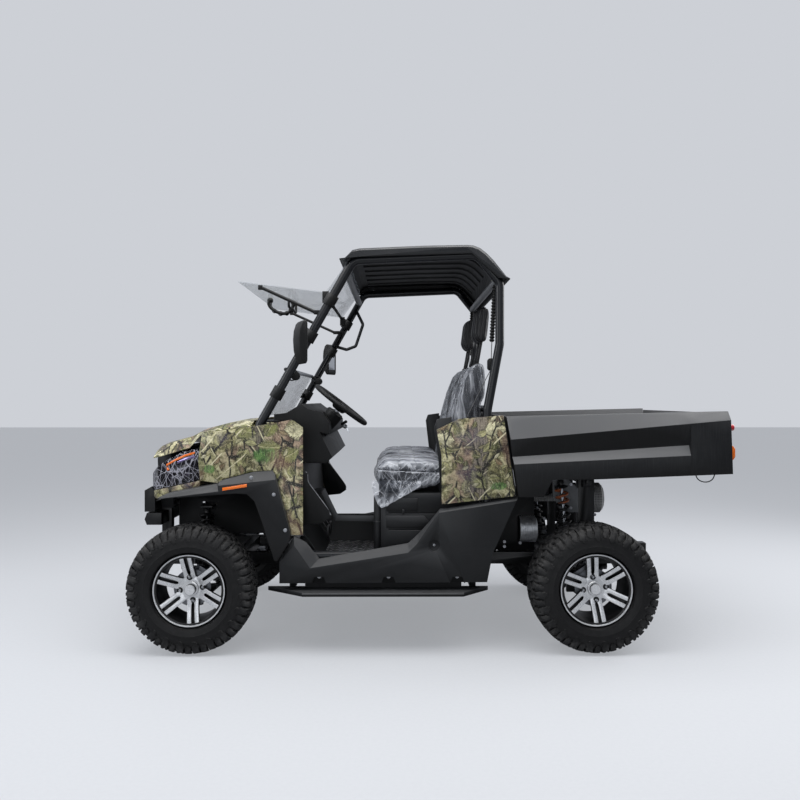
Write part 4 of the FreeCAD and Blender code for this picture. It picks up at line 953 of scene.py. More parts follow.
def make_wheel(name, x, y, w, alloy, count):
    """A twin spoke alloy wheel with its brake disc; the machined faces are bright and the rest is black."""
    dish = 46 if w < 90 else 40
    hub = (x, y, HUB_HEIGHT)
    barrel = turned(name + "_barrel", [(150, w - 20), (153, w - 8), (161.5, w - 5), (163, w - 1),
                                       (167.6, w - 1), (168.2, w - 4), (168.2, w - 9), (151.6, w - 14),
                                       (151.6, -w + 14), (168.2, -w + 9), (168.2, -w + 1), (162, -w),
                                       (147, -w + 6), (146, -w + 20), (146, w - 30), (150, w - 20)], hub,
                    ACROSS, 96)
    face_out = w - 6
    bars = [(40, 10), (47, 25), (58, 27.5), (78, 27), (100, 27), (120, 27.6), (140, 28), (161, 29),
            (161, 8.6), (140, 8.2), (120, 7.9), (100, 7.7), (76, 7.4), (68, 5), (65, 0)]
    upper = [(x + r, HUB_HEIGHT + a) for r, a in bars]
    lower = [(x + r, HUB_HEIGHT - a) for r, a in reversed(bars[:-1])]
    spoke = slab(name + "_spoke", upper + lower, y + face_out - 20, y + face_out)
    for vertex in spoke.data.vertices:
        reach = (vertex.co.x - mm(x, 0, 0).x) * 1000
        if vertex.co.y > (y + face_out - 5) / 1000:
            vertex.co.y -= 0.0022 * max(0.0, (reach - 110) / 50)
    begin(spoke)
    pick(spoke, lambda c, n: n.y > 0.9)
    bpy.ops.mesh.inset(thickness=0.0016, use_even_offset=True)
    bpy.ops.transform.translate(value=(0, 0.0012, 0))
    end()
    web = slab(name + "_web", [(x + 60, HUB_HEIGHT - 9), (x + 60, HUB_HEIGHT + 9), (x + 158, HUB_HEIGHT + 11),
                               (x + 158, HUB_HEIGHT - 11)], y + face_out - 21, y + face_out - 15)
    painted(eased(outward(web), 1.0, 1), "alloy_black")
    eased(outward(spoke), 1.2, 1)
    spokes, webs = [], []
    for n in range(count):
        angle = math.radians(360 / count * n + 97)
        for bar, row in ((spoke, spokes), (web, webs)):
            row.append(dished(turned_copy(bar, "bar", angle, hub, ACROSS), x, dish))
    bpy.data.objects.remove(spoke)
    bpy.data.objects.remove(web)
    seat = face_out - dish
    disc = turned(name + "_hub", [
        (0, seat - 12), (56, seat - 12), (61, seat - 6), (61, seat - 1.5), (57, seat + 0.8),
        (44, seat + 1.6), (40, seat + 2), (0, seat + 2),
    ], hub, ACROSS, 48)
    bore = turned(name + "_bore", [
        (0, seat - 12), (44, seat - 12), (44, face_out - 62), (18, face_out - 62), (0, face_out - 62),
    ], hub, ACROSS, 32)
    cap = turned(name + "_cap", [
        (35, seat + 1), (35, seat + 8), (32, seat + 11), (26, seat + 11.4), (25, seat + dish - 15),
        (22, seat + dish - 11), (0, seat + dish - 10),
    ], hub, ACROSS, 40)
    nuts = []
    for n in range(4):
        angle = math.radians(90 * n + 8)
        nx, nz = x + NUT_CIRCLE * math.sin(angle), HUB_HEIGHT + NUT_CIRCLE * math.cos(angle)
        well = turned("well", [(9.5, seat + 1.2), (10.2, seat + 3.6), (13.6, seat + 3.6),
                               (14.4, seat + 1.2)], (nx, y, nz), ACROSS, 24)
        floor = cylinder("floor", (nx, y + seat, nz), (nx, y + seat + 2.6, nz), 10.5, 24)
        nut = cylinder("nut", (nx, y + seat, nz), (nx, y + seat + 9.6, nz), 7.0, 6, 6.0)
        eased(nut, 0.8, 1)
        nuts += [well, floor, nut]
        painted(well, "alloy_black")
        painted(floor, "alloy_black")
        painted(nut, "steel")
    for piece in [barrel, disc, cap] + spokes:
        painted(piece, "alloy_black", alloy)
    middle = mm(*hub)
    for piece in spokes + [disc, cap]:
        paint_where(piece, 1, lambda c, n: n.y > 0.25 and c.y > (y + seat - 1) / 1000)
    paint_where(barrel, 1, lambda c, n: c.y > (y + w - 5) / 1000 and n.y > 0.15
                and math.hypot(c.x - middle.x, c.z - middle.z) > 0.162)
    painted(bore, "cast")
    inner = w - 6 - 16 - 46 - 5.5
    brake = turned(name + "_brake", [(18, inner), (88, inner), (88, inner + 5), (60, inner + 5),
                                     (58, inner + 8), (18, inner + 8), (18, inner)], hub, ACROSS, 48)
    painted(brake, "disc")
    wheel = joined([barrel, disc, bore, cap, brake] + nuts + spokes + webs, name)
    return smoothed(wheel, 35)


def build_wheels(settings):
    for end, x, y, half, rim_half in (("front", FRONT_AXLE, 622.5, 102.5, 82.0),
                                      ("rear", REAR_AXLE, 600.0, 125.0, 100.0)):
        tyre = make_tyre(f"tyre_{end}_left_tread", x, y, half, rim_half, end + "_rubber")
        rim = make_wheel(f"wheel_{end}_left_alloy", x, y, rim_half, end + "_alloy", settings.spoke_pairs)
        for piece, node, slot in ((tyre, "tyre", "tyre"), (rim, "wheel", "alloy")):
            other = opposite(piece, piece.name.replace("left", "right"))
            for made, side in ((piece, "left"), (other, "right")):
                placed(made, f"{end}_wheel_{side}", slot, f"{node}_{end}_{side}")


# Body and frame

def near_cross_tube(c, n):
    """Whether a face of the cage lies on one of the two tubes that run across it."""
    return abs(c.y) < 0.59 and any((c - mm(x, c.y * 1000, z)).length < 0.0185 for x, z in CROSS_TUBES)


def build_body():
    dressed("roof_panel", "roof_shell", 2.0, "roof_plastic", "black_plastic")
    dressed("front_side_panels", "printed_side_panels", 1.6, "camo_side", "camo")
    dressed("quarter_panels", "printed_quarter_panels", 1.6, "camo_side", "camo")
    dressed("hood", "printed_hood", 1.6, "camo_top", "camo", "hood")
    dressed("fender_flares", "flare_mouldings", 2.0, "plastic", "black_plastic")
    dressed("side_skirts", "skirt_mouldings", 2.0, "plastic", "black_plastic")
    dressed("running_boards", "step_boards", 2.0, "plastic", "black_plastic")
    dressed("inner_fenders", "fender_liners", 0.0, "dark_and_shaded_plastic", "black_plastic")
    dressed("nose_panel", "nose_moulding", 2.0, "plastic", "black_plastic")
    dressed("front_bumper", "bumper_beams", 6.0, "frame", "frame_paint", segments=3)
    dressed("dash", "dash_moulding", 5.0, "dark_and_shaded_plastic", "black_plastic", segments=3)
    dressed("seat_base", "seat_box", 3.0, "plastic", "black_plastic")
    dressed("bed", "bed_tub", 2.2, "bed_plastic", "black_plastic", "bed")
    dressed("tailgate", "gate_panel", 2.0, "bed_plastic", "black_plastic", "tailgate")
    dressed("floor_pan", "cab_floor", 1.5, "tread", "black_plastic")
    main = dressed("frame", "main_frame", 1.5, "frame", "frame_paint")
    second_paint(main, "tower_grey", lambda c, n: abs(abs(c.y) - TOWER_Y) < 0.0046 and c.z > 0.61 and c.x < 0)
    cage = dressed("roll_cage", "cage_tubes", 0.0, "tube", "frame_paint", smooth=50)
    second_paint(cage, "cross_grey", near_cross_tube)
    dressed("windshield", "windshield_sheets", 0.0, "glass", "glass")
    fittings = dressed("windshield_fittings", "windshield_hardware", 1.0, "dark_and_shaded_plastic", "black_plastic")
    second_paint(fittings, "trim_grey", lambda c, n: abs(c.y) < 0.56 and 1.312 < c.z < 1.362)
    build_body_trim()


def build_body_trim():
    """Thin pieces that finish the panels' edges: board lips that also stand in as painted shade, edge webs,
    knee panels with a painted highlight line, and seat box trim.
    """
    # The board lip is a mounting flange and a dark strip that closes the gap between skirt and board, as
    # painted shade for the shadow seen in that gap.
    shade_lip = slab("board_flange_and_shade", [(420, 296), (420, 327), (-326, 327), (-326, 296)], 604, 608)
    web = slab("web", [(-573, 742), (-581.4, 742), (-528, 1105), (-520, 1105)], 590, 656)
    post = cylinder("seat_post", (76, 546, 432), (76, 546, 728), 18, 32)
    collar = cylinder("seat_collar", (76, 546, 596), (76, 546, 604), 19.5, 32)
    pieces = [painted(eased(shade_lip, 1, 1), "plastic"), painted(web, "dark_and_shaded_plastic"),
              painted(eased(post, 3, 2), "plastic"), painted(eased(collar, 1, 1), "plastic")]
    for outline in ([(34, 574), (34, 632), (-150, 632), (-196, 574)],
                    [(34, 654), (34, 716), (-118, 716), (-118, 654)]):
        raised = slab("raised", outline, 560, 568)
        pieces.append(painted(eased(raised, 2.5, 2), "plastic"))
    tab = slab("tab", [(-44, 640), (-44, 662), (-54, 662), (-54, 640)], 564, 574)
    pieces.append(painted(eased(tab, 2, 2), "plastic"))
    knee = slab("knee_panel", [(466, 880), (409, 838), (409, 797), (304, 658), (300, 626), (338, 600),
                               (430, 590), (446, 700)], 588, 594)
    pieces.append(painted(eased(knee, 1.5, 2), "dark_and_shaded_plastic"))
    # A pale round line along the knee panel's edge, a painted highlight where that edge catches the light.
    edge_highlight_line = tube("edge_highlight_line", [(420, 592, 846), (409, 592, 838), (409, 592, 818), (408, 592, 797),
                             (356, 592, 728), (304, 592, 658), (300, 592, 640)], 1.7, "edge_highlight", 2)
    pieces.append(meshed(edge_highlight_line))
    lever = cylinder("lever", (430, 330, 992), (346, 330, 944), 6, 20)
    knob = turned("knob", [(0, -17), (9, -15), (15, -8), (17, 0), (15, 8), (9, 15), (0, 17)], (338, 330, 939),
                  (0.85, 0, 0.5), 24)
    plate = turned("lever_plate", [(0, 0), (22, 0), (24, 3), (20, 6), (0, 6)], (418, 330, 985),
                   (-0.85, 0, -0.5), 32)
    pieces += [painted(lever, "steel"), painted(knob, "dark_and_shaded_plastic"), painted(plate, "steel")]
    both_sides(smoothed(joined(pieces, "left_cab_trim"), 40), "chassis", "black_plastic")


def build_chassis(settings):
    for node, name, width, finish, slot, body in (
            ("front_arms", "front_wishbones", 0.0, "frame", "frame_paint", "chassis"),
            ("rear_arms", "rear_wishbones", 0.0, "frame", "frame_paint", "chassis"),
            ("rear_hubs", "rear_uprights", 1.2, "cast", "cast", "chassis"),
            ("drive_shafts", "axle_shafts", 0.0, "steel", "steel", "chassis"),
            ("steering_rack", "rack_housing", 1.0, "cast", "cast", "chassis"),
            ("tie_rods", "tie_rod_bars", 0.0, "steel", "steel", "tie_rods"),
            ("front_knuckle_left", "left_knuckle", 1.2, "cast", "cast", "knuckle_left"),
            ("front_knuckle_right", "right_knuckle", 1.2, "cast", "cast", "knuckle_right"),
            ("engine", "engine_block", 6.0, "dark_and_shaded_plastic", "cast", "chassis"),
            ("pedals", "foot_pedals", 1.5, "frame", "frame_paint", "chassis")):
        dressed(node, name, width, finish, slot, body)
    for low, high, name in (((950, 408, 262), (950, 330, 640), "front"),
                            ((-892, 408, 268), (-842, 398, 790), "rear")):
        build_shock(name, low, high, settings)
    build_muffler()
    build_fasteners()


def build_muffler():
    """The silencer with its rolled ribs, and the finned drum ahead of it."""
    profile = [(0, -1155), (50, -1155), (60, -1153), (62, -1149), (71, -1147), (73, -1142), (79, -1139)]
    profile += ribbed(-1136, 19, 8.3, ((82.6, 0), (82.6, 2.6), (78.5, 4), (78.5, 6)))
    profile += [(82.6, -976), (70, -970), (21, -962), (21, -742), (0, -742)]
    can = turned("silencer_can", profile, (0, 0, 650), (1, 0, 0), 56)
    painted(can, "mesh")
    placed(smoothed(can, 40), "chassis", "steel", "muffler")
    profile = [(0, -748), (54, -748), (62, -744)]
    profile += ribbed(-741, 9, 9.4, ((69, 0), (69, 3.4), (66, 4.6), (66, 8)))
    profile += [(62, -655), (0, -655)]
    drum = turned("clutch_drum", profile, (0, 238, 516), (1, 0, 0), 48)
    painted(drum, "drum")
    placed(smoothed(drum, 40), "chassis", "cast")


def build_fasteners():
    """Bright bolts on the arms' brackets and the towers ahead of the rear wheels."""
    bolts = []
    for x, y, z in ((-560, 398, 452), (-560, 398, 476), (-770, 354, 585), (-905, 354, 640), (-842, 354, 700),
                    (-640, 398, 470), (-905, 354, 760), (-1020, 383, 610)):
        bolt = cylinder("bolt", (x, y - 5, z), (x, y + 7, z), 5.0, 6)
        washer = cylinder("washer", (x, y - 5, z), (x, y + 2, z), 7.2, 24)
        bolts += [painted(eased(bolt, 1, 1), "steel"), painted(washer, "steel")]
    both_sides(smoothed(joined(bolts, "left_frame_bolts"), 35), "chassis", "steel")


def build_shock(name, low, high, settings):
    """A damper in a coil spring, and its twin on the other side."""
    low, high = Vector(low), Vector(high)
    along = high - low
    length = along.length
    turns = settings.spring_turns
    start, stop = 60.0, length - 46.0
    clear()
    bpy.ops.mesh.primitive_circle_add(vertices=10, radius=0.0066, fill_type="NOTHING",
                                      location=(0.0282, 0, start / 1000), rotation=(math.pi / 2, 0, 0))
    coil = bpy.context.object
    coil.name = "coil"
    settle(coil)
    modified(coil, "SCREW", axis="Z", angle=2 * math.pi * turns, steps=int(turns * 22),
             render_steps=int(turns * 22), screw_offset=(stop - start) / 1000, iterations=1)
    painted(outward(coil), "alloy_black", "spring")
    if name == "rear":
        paint_where(coil, 1, lambda c, n: c.z > length * 0.00078)
    body = turned("damper", [
        (0, 2), (13, 2), (15, 6), (15, 14), (12, 18), (12, 40), (34, 46), (35, 50), (34, 54), (20, 56),
        (20, length * 0.5), (18, length * 0.5 + 4), (0, length * 0.5 + 4)], AT_ORIGIN, UP, 32)
    painted(body, "alloy_black")
    rod = turned("rod", [
        (0, length * 0.5), (8, length * 0.5), (8, length - 40), (0, length - 40)], AT_ORIGIN, UP, 24)
    painted(rod, "rod" if name == "rear" else "alloy_black")
    cap = turned("cap", [
        (0, length - 44), (33, length - 44), (35, length - 40), (33, length - 34), (15, length - 28),
        (15, length - 4), (13, length - 1), (0, length - 1)], AT_ORIGIN, UP, 32)
    painted(cap, "alloy_black")
    piece = smoothed(joined([body, coil, rod, cap], f"{name}_left_coilover"), 40)
    turn = along.to_track_quat("Z", "Y").to_matrix().to_4x4()
    piece.data.transform(Matrix.Translation(mm(*low)) @ turn)
    both_sides(piece, "chassis", "spring", "shocks")


# Seats

def swollen(piece, reach, voxel, low, high):
    """Puffs a closed form up like stuffed upholstery, each point moving by no more than reach."""
    take(piece)
    piece.data.remesh_voxel_size = voxel
    bpy.ops.object.voxel_remesh()
    rest = [v.co.copy() for v in piece.data.vertices]
    cloth = piece.modifiers.new("Cloth", "CLOTH")
    cloth.settings.use_pressure = True
    cloth.settings.uniform_pressure_force = 4.0
    cloth.settings.effector_weights.gravity = 0.0
    cloth.settings.quality = 5
    cloth.point_cache.frame_start = 1
    cloth.point_cache.frame_end = PUFF_FRAMES
    for number in range(1, PUFF_FRAMES + 1):
        bpy.context.scene.frame_set(number)
    take(piece)
    bpy.ops.object.modifier_apply(modifier=cloth.name)
    bpy.context.scene.frame_set(1)
    for vertex, before in zip(piece.data.vertices, rest):
        move = vertex.co - before
        if move.length > reach:
            vertex.co = before + move * (reach / move.length)
        for axis in range(3):
            vertex.co[axis] = min(max(vertex.co[axis], low[axis]), high[axis])
    return piece


def smooth_mesh(piece, factor, repeat):
    return modified(piece, "SMOOTH", factor=factor, iterations=repeat)


def seam(piece, distance, width, depth):
    """Draws the surface in along a line where distance(point) is nought, in millimetres."""
    normals = [v.normal.copy() for v in piece.data.vertices]
    for vertex, normal in zip(piece.data.vertices, normals):
        away = abs(distance(vertex.co * 1000)) / width
        if away < 3:
            vertex.co -= normal * depth / 1000 * math.exp(-away * away)


def film_over(piece, name, lift, fold, run):
    """A loose creased cover that follows a pad; run holds how often its folds repeat along each axis."""
    cover = copied(piece, name)
    normals = [v.normal.copy() for v in cover.data.vertices]
    for vertex, normal in zip(cover.data.vertices, normals):
        spot = Vector((vertex.co.x * run[0], vertex.co.y * run[1], vertex.co.z * run[2]))
        ridge = 1 - min(1.0, abs(noise.noise(spot)) * 3.2)
        small = 1 - min(1.0, abs(noise.noise(spot * 2.7 + Vector((3, 7, 1)))) * 3.2)
        vertex.co += normal * (lift + fold * (ridge * 0.7 + small * 0.3)) / 1000
    return cover


def pad_low_high(node, margin):
    """The room for the left seat's pad of a node that holds both."""
    low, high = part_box(node)
    return [low[0] - margin, 0.06 - margin, low[2]], [high[0] + margin, 0.56 + margin, high[2] + margin]


def cushion_pad():
    """The seat cushion: a crowned block whose front is rounded in plan."""
    piece = slab("cushion", [(106, 808), (98, 846), (76, 870), (34, 885), (-58, 891), (-246, 888),
                             (-246, 794), (-44, 748), (62, 748)], SEAT_EDGE_LOW, SEAT_EDGE_HIGH)
    eased(piece, 20, 3, 20)
    low, high = pad_low_high("seat_cushions", 0.004)
    swollen(piece, 0.009, 0.009, low, high)
    for vertex in piece.data.vertices:
        forward = vertex.co.x * 1000 - CAB_SHIFT
        if forward > 0:
            side = abs(vertex.co.y * 1000 - SEAT_MIDDLE) / 250
            vertex.co.x = (CAB_SHIFT + forward * (1 - 0.31 * min(1.0, side) ** 2.2)) / 1000
    smooth_mesh(piece, 0.5, 6)
    softened(piece)
    for x in (-30, -110):
        seam(piece, lambda p, x=x: (p.x - CAB_SHIFT - x) if p.z > 860 else FAR_AWAY, 5, 4)
    for y in (150, 470):
        seam(piece, lambda p, y=y: (p.y - y) if p.z > 820 or p.x - CAB_SHIFT > 40 else FAR_AWAY, 5, 4)
    seam(piece, lambda p: p.z - 846 - (p.x - CAB_SHIFT) * 0.04, 4, 4)
    return piece


def back_pad():
    """The backrest, with piping down its sides and channels across the middle."""
    piece = slab("back", [(-262, 748), (-272, 900), (-298, 1086), (-328, 1200), (-370, 1316), (-392, 1350),
                          (-408, 1364), (-428, 1366), (-436, 1358), (-438, 1290), (-434, 1212),
                          (-417, 1180), (-417, 1100), (-394, 962), (-394, 748)], SEAT_EDGE_LOW,
                 SEAT_EDGE_HIGH)
    eased(piece, 18, 3, 20)
    low, high = pad_low_high("seat_backs", 0.004)
    swollen(piece, 0.008, 0.009, low, high)
    smooth_mesh(piece, 0.5, 6)
    softened(piece)

    def front(p):
        return p.x - CAB_SHIFT + 255 + (p.z - 748) * 0.19

    for z in (1000, 1100, 1200):
        seam(piece, lambda p, z=z: (p.z - z) if front(p) > -30 and 150 < p.y < 470 else FAR_AWAY, 5, 4)
    for y in (150, 470):
        seam(piece, lambda p, y=y: (p.y - y) if front(p) > -30 or p.z > 1330 else FAR_AWAY, 5, 4)
    seam(piece, lambda p: front(p) + 62 if p.z < 1320 else FAR_AWAY, 4, 3)
    return piece


def head_pad():
    """The headrest, bowed forward in the middle, with ribs across its front."""
    piece = slab("head", [(-402, 1508), (-412, 1484), (-450, 1480), (-466, 1492), (-481, 1638), (-474, 1655),
                          (-440, 1661), (-420, 1648)], 222, 418)
    eased(piece, 12, 3, 20)
    low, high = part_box("headrests")
    low, high = [low[0], 0.215, low[2]], [high[0], 0.425, high[2]]
    swollen(piece, 0.006, 0.007, low, high)
    for vertex in piece.data.vertices:
        side = abs(vertex.co.y * 1000 - HEAD_MIDDLE) / 98
        front = (vertex.co.x * 1000 - CAB_SHIFT + 475) / 75
        vertex.co.x -= 0.024 * min(1.0, side) ** 2 * min(1.0, max(0.0, front))
    smooth_mesh(piece, 0.5, 4)
    softened(piece)
    for y in (248, 284, 320, 356, 392):
        seam(piece, lambda p, y=y: (p.y - y + (p.z - 1570) * 0.03 * (1 if y > HEAD_MIDDLE else -1)), 5, 5)
    for x in (-416, -438, -460):
        seam(piece, lambda p, x=x: (p.x - CAB_SHIFT - x + (p.z - 1570) * 0.12)
             if abs(p.y - HEAD_MIDDLE) > 78 else FAR_AWAY, 4, 5)
    return piece


def film_tail():
    """The loose hem of film that hangs from the cushion's front corner down beside the seat box."""
    hem = [(101, 772), (90, 722), (74, 688), (HEM_TIP_X, HEM_TIP_Z), (28, 682), (-10, 703), (-50, 727),
           (-92, 750), (-134, 776)]
    clear()
    bpy.ops.mesh.primitive_grid_add(x_subdivisions=64, y_subdivisions=16, size=1)
    piece = new_piece("film_tail")
    for vertex in piece.data.vertices:
        across = min(max(vertex.co.x + 0.5, 0.0), 1.0)
        down = min(max(0.5 - vertex.co.y, 0.0), 1.0)
        place = across * (len(hem) - 1)
        n = min(int(place), len(hem) - 2)
        share = place - n
        x = hem[n][0] + (hem[n + 1][0] - hem[n][0]) * share
        bottom = hem[n][1] + (hem[n + 1][1] - hem[n][1]) * share
        z = 800 + (bottom - 800) * down
        lean = noise.noise(Vector((x * 0.05, z * 0.012, 2.0)))
        y = 560 + 13 * min(1.0, down * 2.4) + 4.5 * down * (lean + 0.4)
        vertex.co = mm(x - 4 * lean * down, y, z)
    return piece


def build_seats():
    cushion, back, head = cushion_pad(), back_pad(), head_pad()
    posts = []
    for y in (260, 380):
        post = cylinder("post", (-446, y, 1490), (-425, y, 1374), 7.4, 20)
        painted(eased(post, 1.2), "alloy_black")
        boot = turned("boot", [(17, 0), (17, 3), (12, 9), (8, 10)], (-426, y, 1367), (-0.16, 0, 0.98), 24)
        posts += [post, painted(boot, "dark_and_shaded_plastic")]
    left_posts = smoothed(joined(posts, "left_headrest_posts"))
    for piece, name, node in ((cushion, "cushion", "seat_cushions"), (back, "backrest", "seat_backs"),
                              (head, "headrest", "headrests")):
        painted(piece, "vinyl")
        smoothed(piece, 60)
        piece.name = f"left_{name}"
        for side in both_sides(piece, "chassis", "vinyl", node):
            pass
    low_cover = film_over(cushion, "left_cushion_wrap", 3.0, 6.0, (5.0, 11.0, 7.0))
    tail = painted(film_tail(), "side_film")
    painted(low_cover, "cushion_film", "side_film")
    paint_where(low_cover, 1, lambda c, n: n.z < 0.45)
    low_cover = joined([low_cover, tail], "left_cushion_wrap")
    high_cover = painted(film_over(back, "left_backrest_wrap", 3.0, 8.0, (15.0, 15.0, 1.6)), "back_film")
    for cover in (low_cover, high_cover):
        smoothed(cover, 80)
        for side in both_sides(cover, "chassis", "vinyl"):
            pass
    both_sides(left_posts, "chassis", "steel", "headrests")
    build_belts()


def ribbon(name, points, wide, thick):
    """A flat strap whose width lies across the vehicle, through (x, y, z) middle points."""
    piece = drawn(name, points, closed=False)
    begin(piece, "SELECT", "EDGE")
    pushed((0, wide / 1000, 0))
    bpy.ops.mesh.select_all(action="SELECT")
    bpy.ops.transform.translate(value=(0, -wide / 2000, 0))
    bpy.ops.mesh.subdivide(number_cuts=2, smoothness=0.0)
    end()
    modified(piece, "SOLIDIFY", thickness=thick / 1000, offset=0.0)
    return eased(outward(piece), thick * 0.3, 1)


def build_belts():
    strap = ribbon("strap", [(-470, 585, 1338), (-462, 585, 1322), (-449, 582, 1298), (-414, 579, 1226),
                             (-372, 576, 1142), (-340, 573, 1080), (-330, 572, 1060)], 24, 1.8)
    painted(strap, "belt")
    upper = ribbon("upper_strap", [(-475, 581, 1478), (-473, 582, 1440), (-471, 585, 1384)], 22, 1.8)
    painted(upper, "belt")
    reel = slab("reel", [(-486, 1334), (-486, 1386), (-480, 1390), (-460, 1390), (-452, 1380), (-452, 1340),
                         (-460, 1331)], 573, 598)
    painted(eased(reel, 4, 3), "dark_and_shaded_plastic")
    folds = ribbed(2, 18, 15, ((9, 0), (13, 3.5), (13, 7), (9, 10.5)))
    profile = [(0, 0), (9.6, 0)] + folds + [(9.6, 273), (0, 273)]
    foot, top = Vector((-474, 582, 1470)), Vector((-490, 578, 1743))
    sleeve = turned("sleeve", profile, tuple(foot), tuple(top - foot), 18)
    painted(sleeve, "dark_and_shaded_plastic")
    buckle = slab("buckle", [(-336, 1072), (-323, 1066), (-330, 1050), (-343, 1056)], 566, 580)
    painted(eased(buckle, 3, 2), "dark_and_shaded_plastic")
    button = slab("button", [(-333, 1072.4), (-326, 1069.4), (-326.5, 1067), (-333.5, 1070)], 569, 577)
    painted(eased(button, 0.8, 1), "red")
    belt = joined([strap, upper, reel, sleeve, buckle, button], "left_belt_and_reel")
    both_sides(smoothed(belt, 40), "chassis", "belt", "seat_belts")


# Controls

def on_column(along):
    """A point on the steering column, measured down from the wheel's centre."""
    return (267 + along * math.sin(WHEEL_TILT), COLUMN_Y, 1165 - along * math.cos(WHEEL_TILT))


def build_steering_wheel():
    centre = on_column(0)
    axis = (-math.sin(WHEEL_TILT), 0, math.cos(WHEEL_TILT))
    grip = [(151 + 13.6 * math.cos(a), 12.6 * math.sin(a)) for a in (math.radians(30 * n) for n in range(13))]
    rim = turned("grip", grip, centre, axis, 72)
    painted(rim, "dark_and_shaded_plastic")
    boss = turned("boss", [(0, -34), (26, -34), (34, -30), (44, -14), (50, -6), (50, 0), (44, 4), (20, 6),
                           (0, 6.4)], centre, axis, 48)
    painted(boss, "dark_and_shaded_plastic")
    shaft = turned("shaft", [(0, -418), (11, -418), (11, -200), (13, -196), (13, -150), (11, -146),
                             (11, -32), (0, -32)], centre, axis, 24)
    painted(shaft, "steel")
    arms = []
    for n in range(3):
        clear()
        arm = drawn("arm", [(30, -24, 0), (148, -17, 0), (148, 17, 0), (30, 24, 0)])
        begin(arm, "SELECT")
        pushed((0, 0, 0.011))
        end()
        outward(arm)
        sunk(arm, lambda c, n: n.z > 0.9, 0.006, (0, 0, -0.0022))
        eased(arm, 2.4, 2)
        turn = Vector(axis).to_track_quat("Z", "X").to_matrix().to_4x4()
        arm.data.transform(Matrix.Translation(mm(*on_column(11))) @ turn
                           @ Matrix.Rotation(math.radians(120 * n + 90), 4, "Z")
                           @ Matrix.Translation((-CAB_SHIFT / 1000, 0, 0)))
        painted(arm, "dark_and_shaded_plastic")
        arms.append(arm)
    wheel = smoothed(joined([rim, boss, shaft] + arms, "driver_steering_wheel"), 45)
    placed(wheel, "steering_wheel", "black_plastic", "steering_wheel")
    build_column(centre, axis)


def build_column(centre, axis):
    """The fixed shroud round the steering shaft, with its stalk and the key switch."""
    shroud = turned("shroud", [(17, -44), (40, -44), (46, -52), (44, -96), (38, -150), (34, -205), (17, -205),
                               (17, -44)], centre, axis, 40)
    for vertex in shroud.data.vertices:
        vertex.co.y += (vertex.co.y - COLUMN_Y / 1000) * 0.25
    painted(shroud, "dark_and_shaded_plastic")
    barrel = cylinder("key_barrel", (262, 288, 1062), (246, 276, 1050), 11, 24)
    painted(eased(barrel, 2, 2), "steel")
    key = slab("key", [(236, 1046), (246, 1054), (240, 1030), (228, 1022)], 275, 278)
    painted(eased(key, 0.8, 1), "rod")
    stalk = cylinder("stalk", (262, 372, 1068), (236, 430, 1082), 6, 20, 8)
    painted(eased(stalk, 2, 2), "dark_and_shaded_plastic")
    piece = smoothed(joined([shroud, barrel, key, stalk], "column_shroud"), 40)
    placed(piece, "chassis", "black_plastic")


def strip(name, line, high, low, y_line, deep):
    """A narrow bar that follows a line of (x, z) points on a face whose y falls with x."""
    outline = [(x, z + high) for x, z in line] + [(x, z - low) for x, z in reversed(line)]
    piece = slab(name, outline, 0, deep)
    for vertex in piece.data.vertices:
        x = vertex.co.x * 1000 - CAB_SHIFT
        for (x0, y0), (x1, y1) in zip(y_line, y_line[1:]):
            if x0 <= x <= x1 or (x1, y1) == y_line[-1]:
                vertex.co.y += (y0 + (y1 - y0) * (x - x0) / (x1 - x0)) / 1000
                break
    return outward(piece)


def build_lamps():
    dressed("headlamps", "headlamp_lenses", 3.0, "smoked", "lamp", segments=3)
    face = [(925, 571), (1160, 498), (1196, 440)]
    left = []
    for x, y, z, radius in ((1108, 452, 806, 30), (1020, 506, 832, 34)):
        bowl = turned("bowl", [(radius, 0), (radius - 1, -3), (radius * 0.8, -16), (radius * 0.4, -26),
                               (8, -28)], (x, y, z), (0.62, 0.74, 0.22), 40)
        painted(bowl, "lamp_inside")
        bulb = turned("bulb", [(0, -4), (5, -5), (7, -9), (7, -22), (9, -24), (9, -29)], (x, y, z),
                      (0.62, 0.74, 0.22), 20)
        painted(bulb, "mirror_glass")
        left += [bowl, bulb]
    amber = strip("amber_strip", [(958, 936), (1010, 921), (1060, 899), (1108, 872)], 5, 6, face, -5)
    painted(eased(amber, 1.5, 2), "amber")
    bulb = cylinder("amber_bulb", (1104, 500, 866), (1096, 515, 846), 10, 20, 7)
    painted(eased(bulb, 2, 2), "amber")
    bright = strip("bright_strip", [(956, 918), (1004, 905), (1050, 886)], 5, 6, face, -6)
    painted(eased(bright, 1.5, 2), "lamp_strip")
    left += [amber, bulb, bright]
    for piece in (amber, bulb, bright):
        for vertex in piece.data.vertices:
            vertex.co.y += 0.0018
    both_sides(smoothed(joined(left, "left_headlamp_bowls"), 40), "chassis", "lamp")
    dressed("marker_lamps", "side_marker_lenses", 1.2, "amber", "amber")
    red = turned("red", [(0, 28.8), (8, 28.4), (13, 27), (15.4, 23), (15.4, 8), (15.9, 7), (15.9, 0), (0, 0)],
                 (-1579.4, 655, 1060), (-1, 0, 0), 40)
    painted(red, "red")
    body = slab("amber_body", [(-1587, 905), (-1587, 977), (-1602, 973), (-1610, 960), (-1610, 922),
                               (-1602, 909)], 640, 670)
    painted(eased(body, 3, 3), "amber")
    base = slab("amber_base", [(-1584.8, 903), (-1584.8, 979), (-1589, 979), (-1589, 903)], 638, 672)
    painted(eased(base, 1.2, 2), "dark_and_shaded_plastic")
    both_sides(smoothed(joined([red, body, base], "left_tail_lamp"), 40), "bed", "red", "tail_lamps")


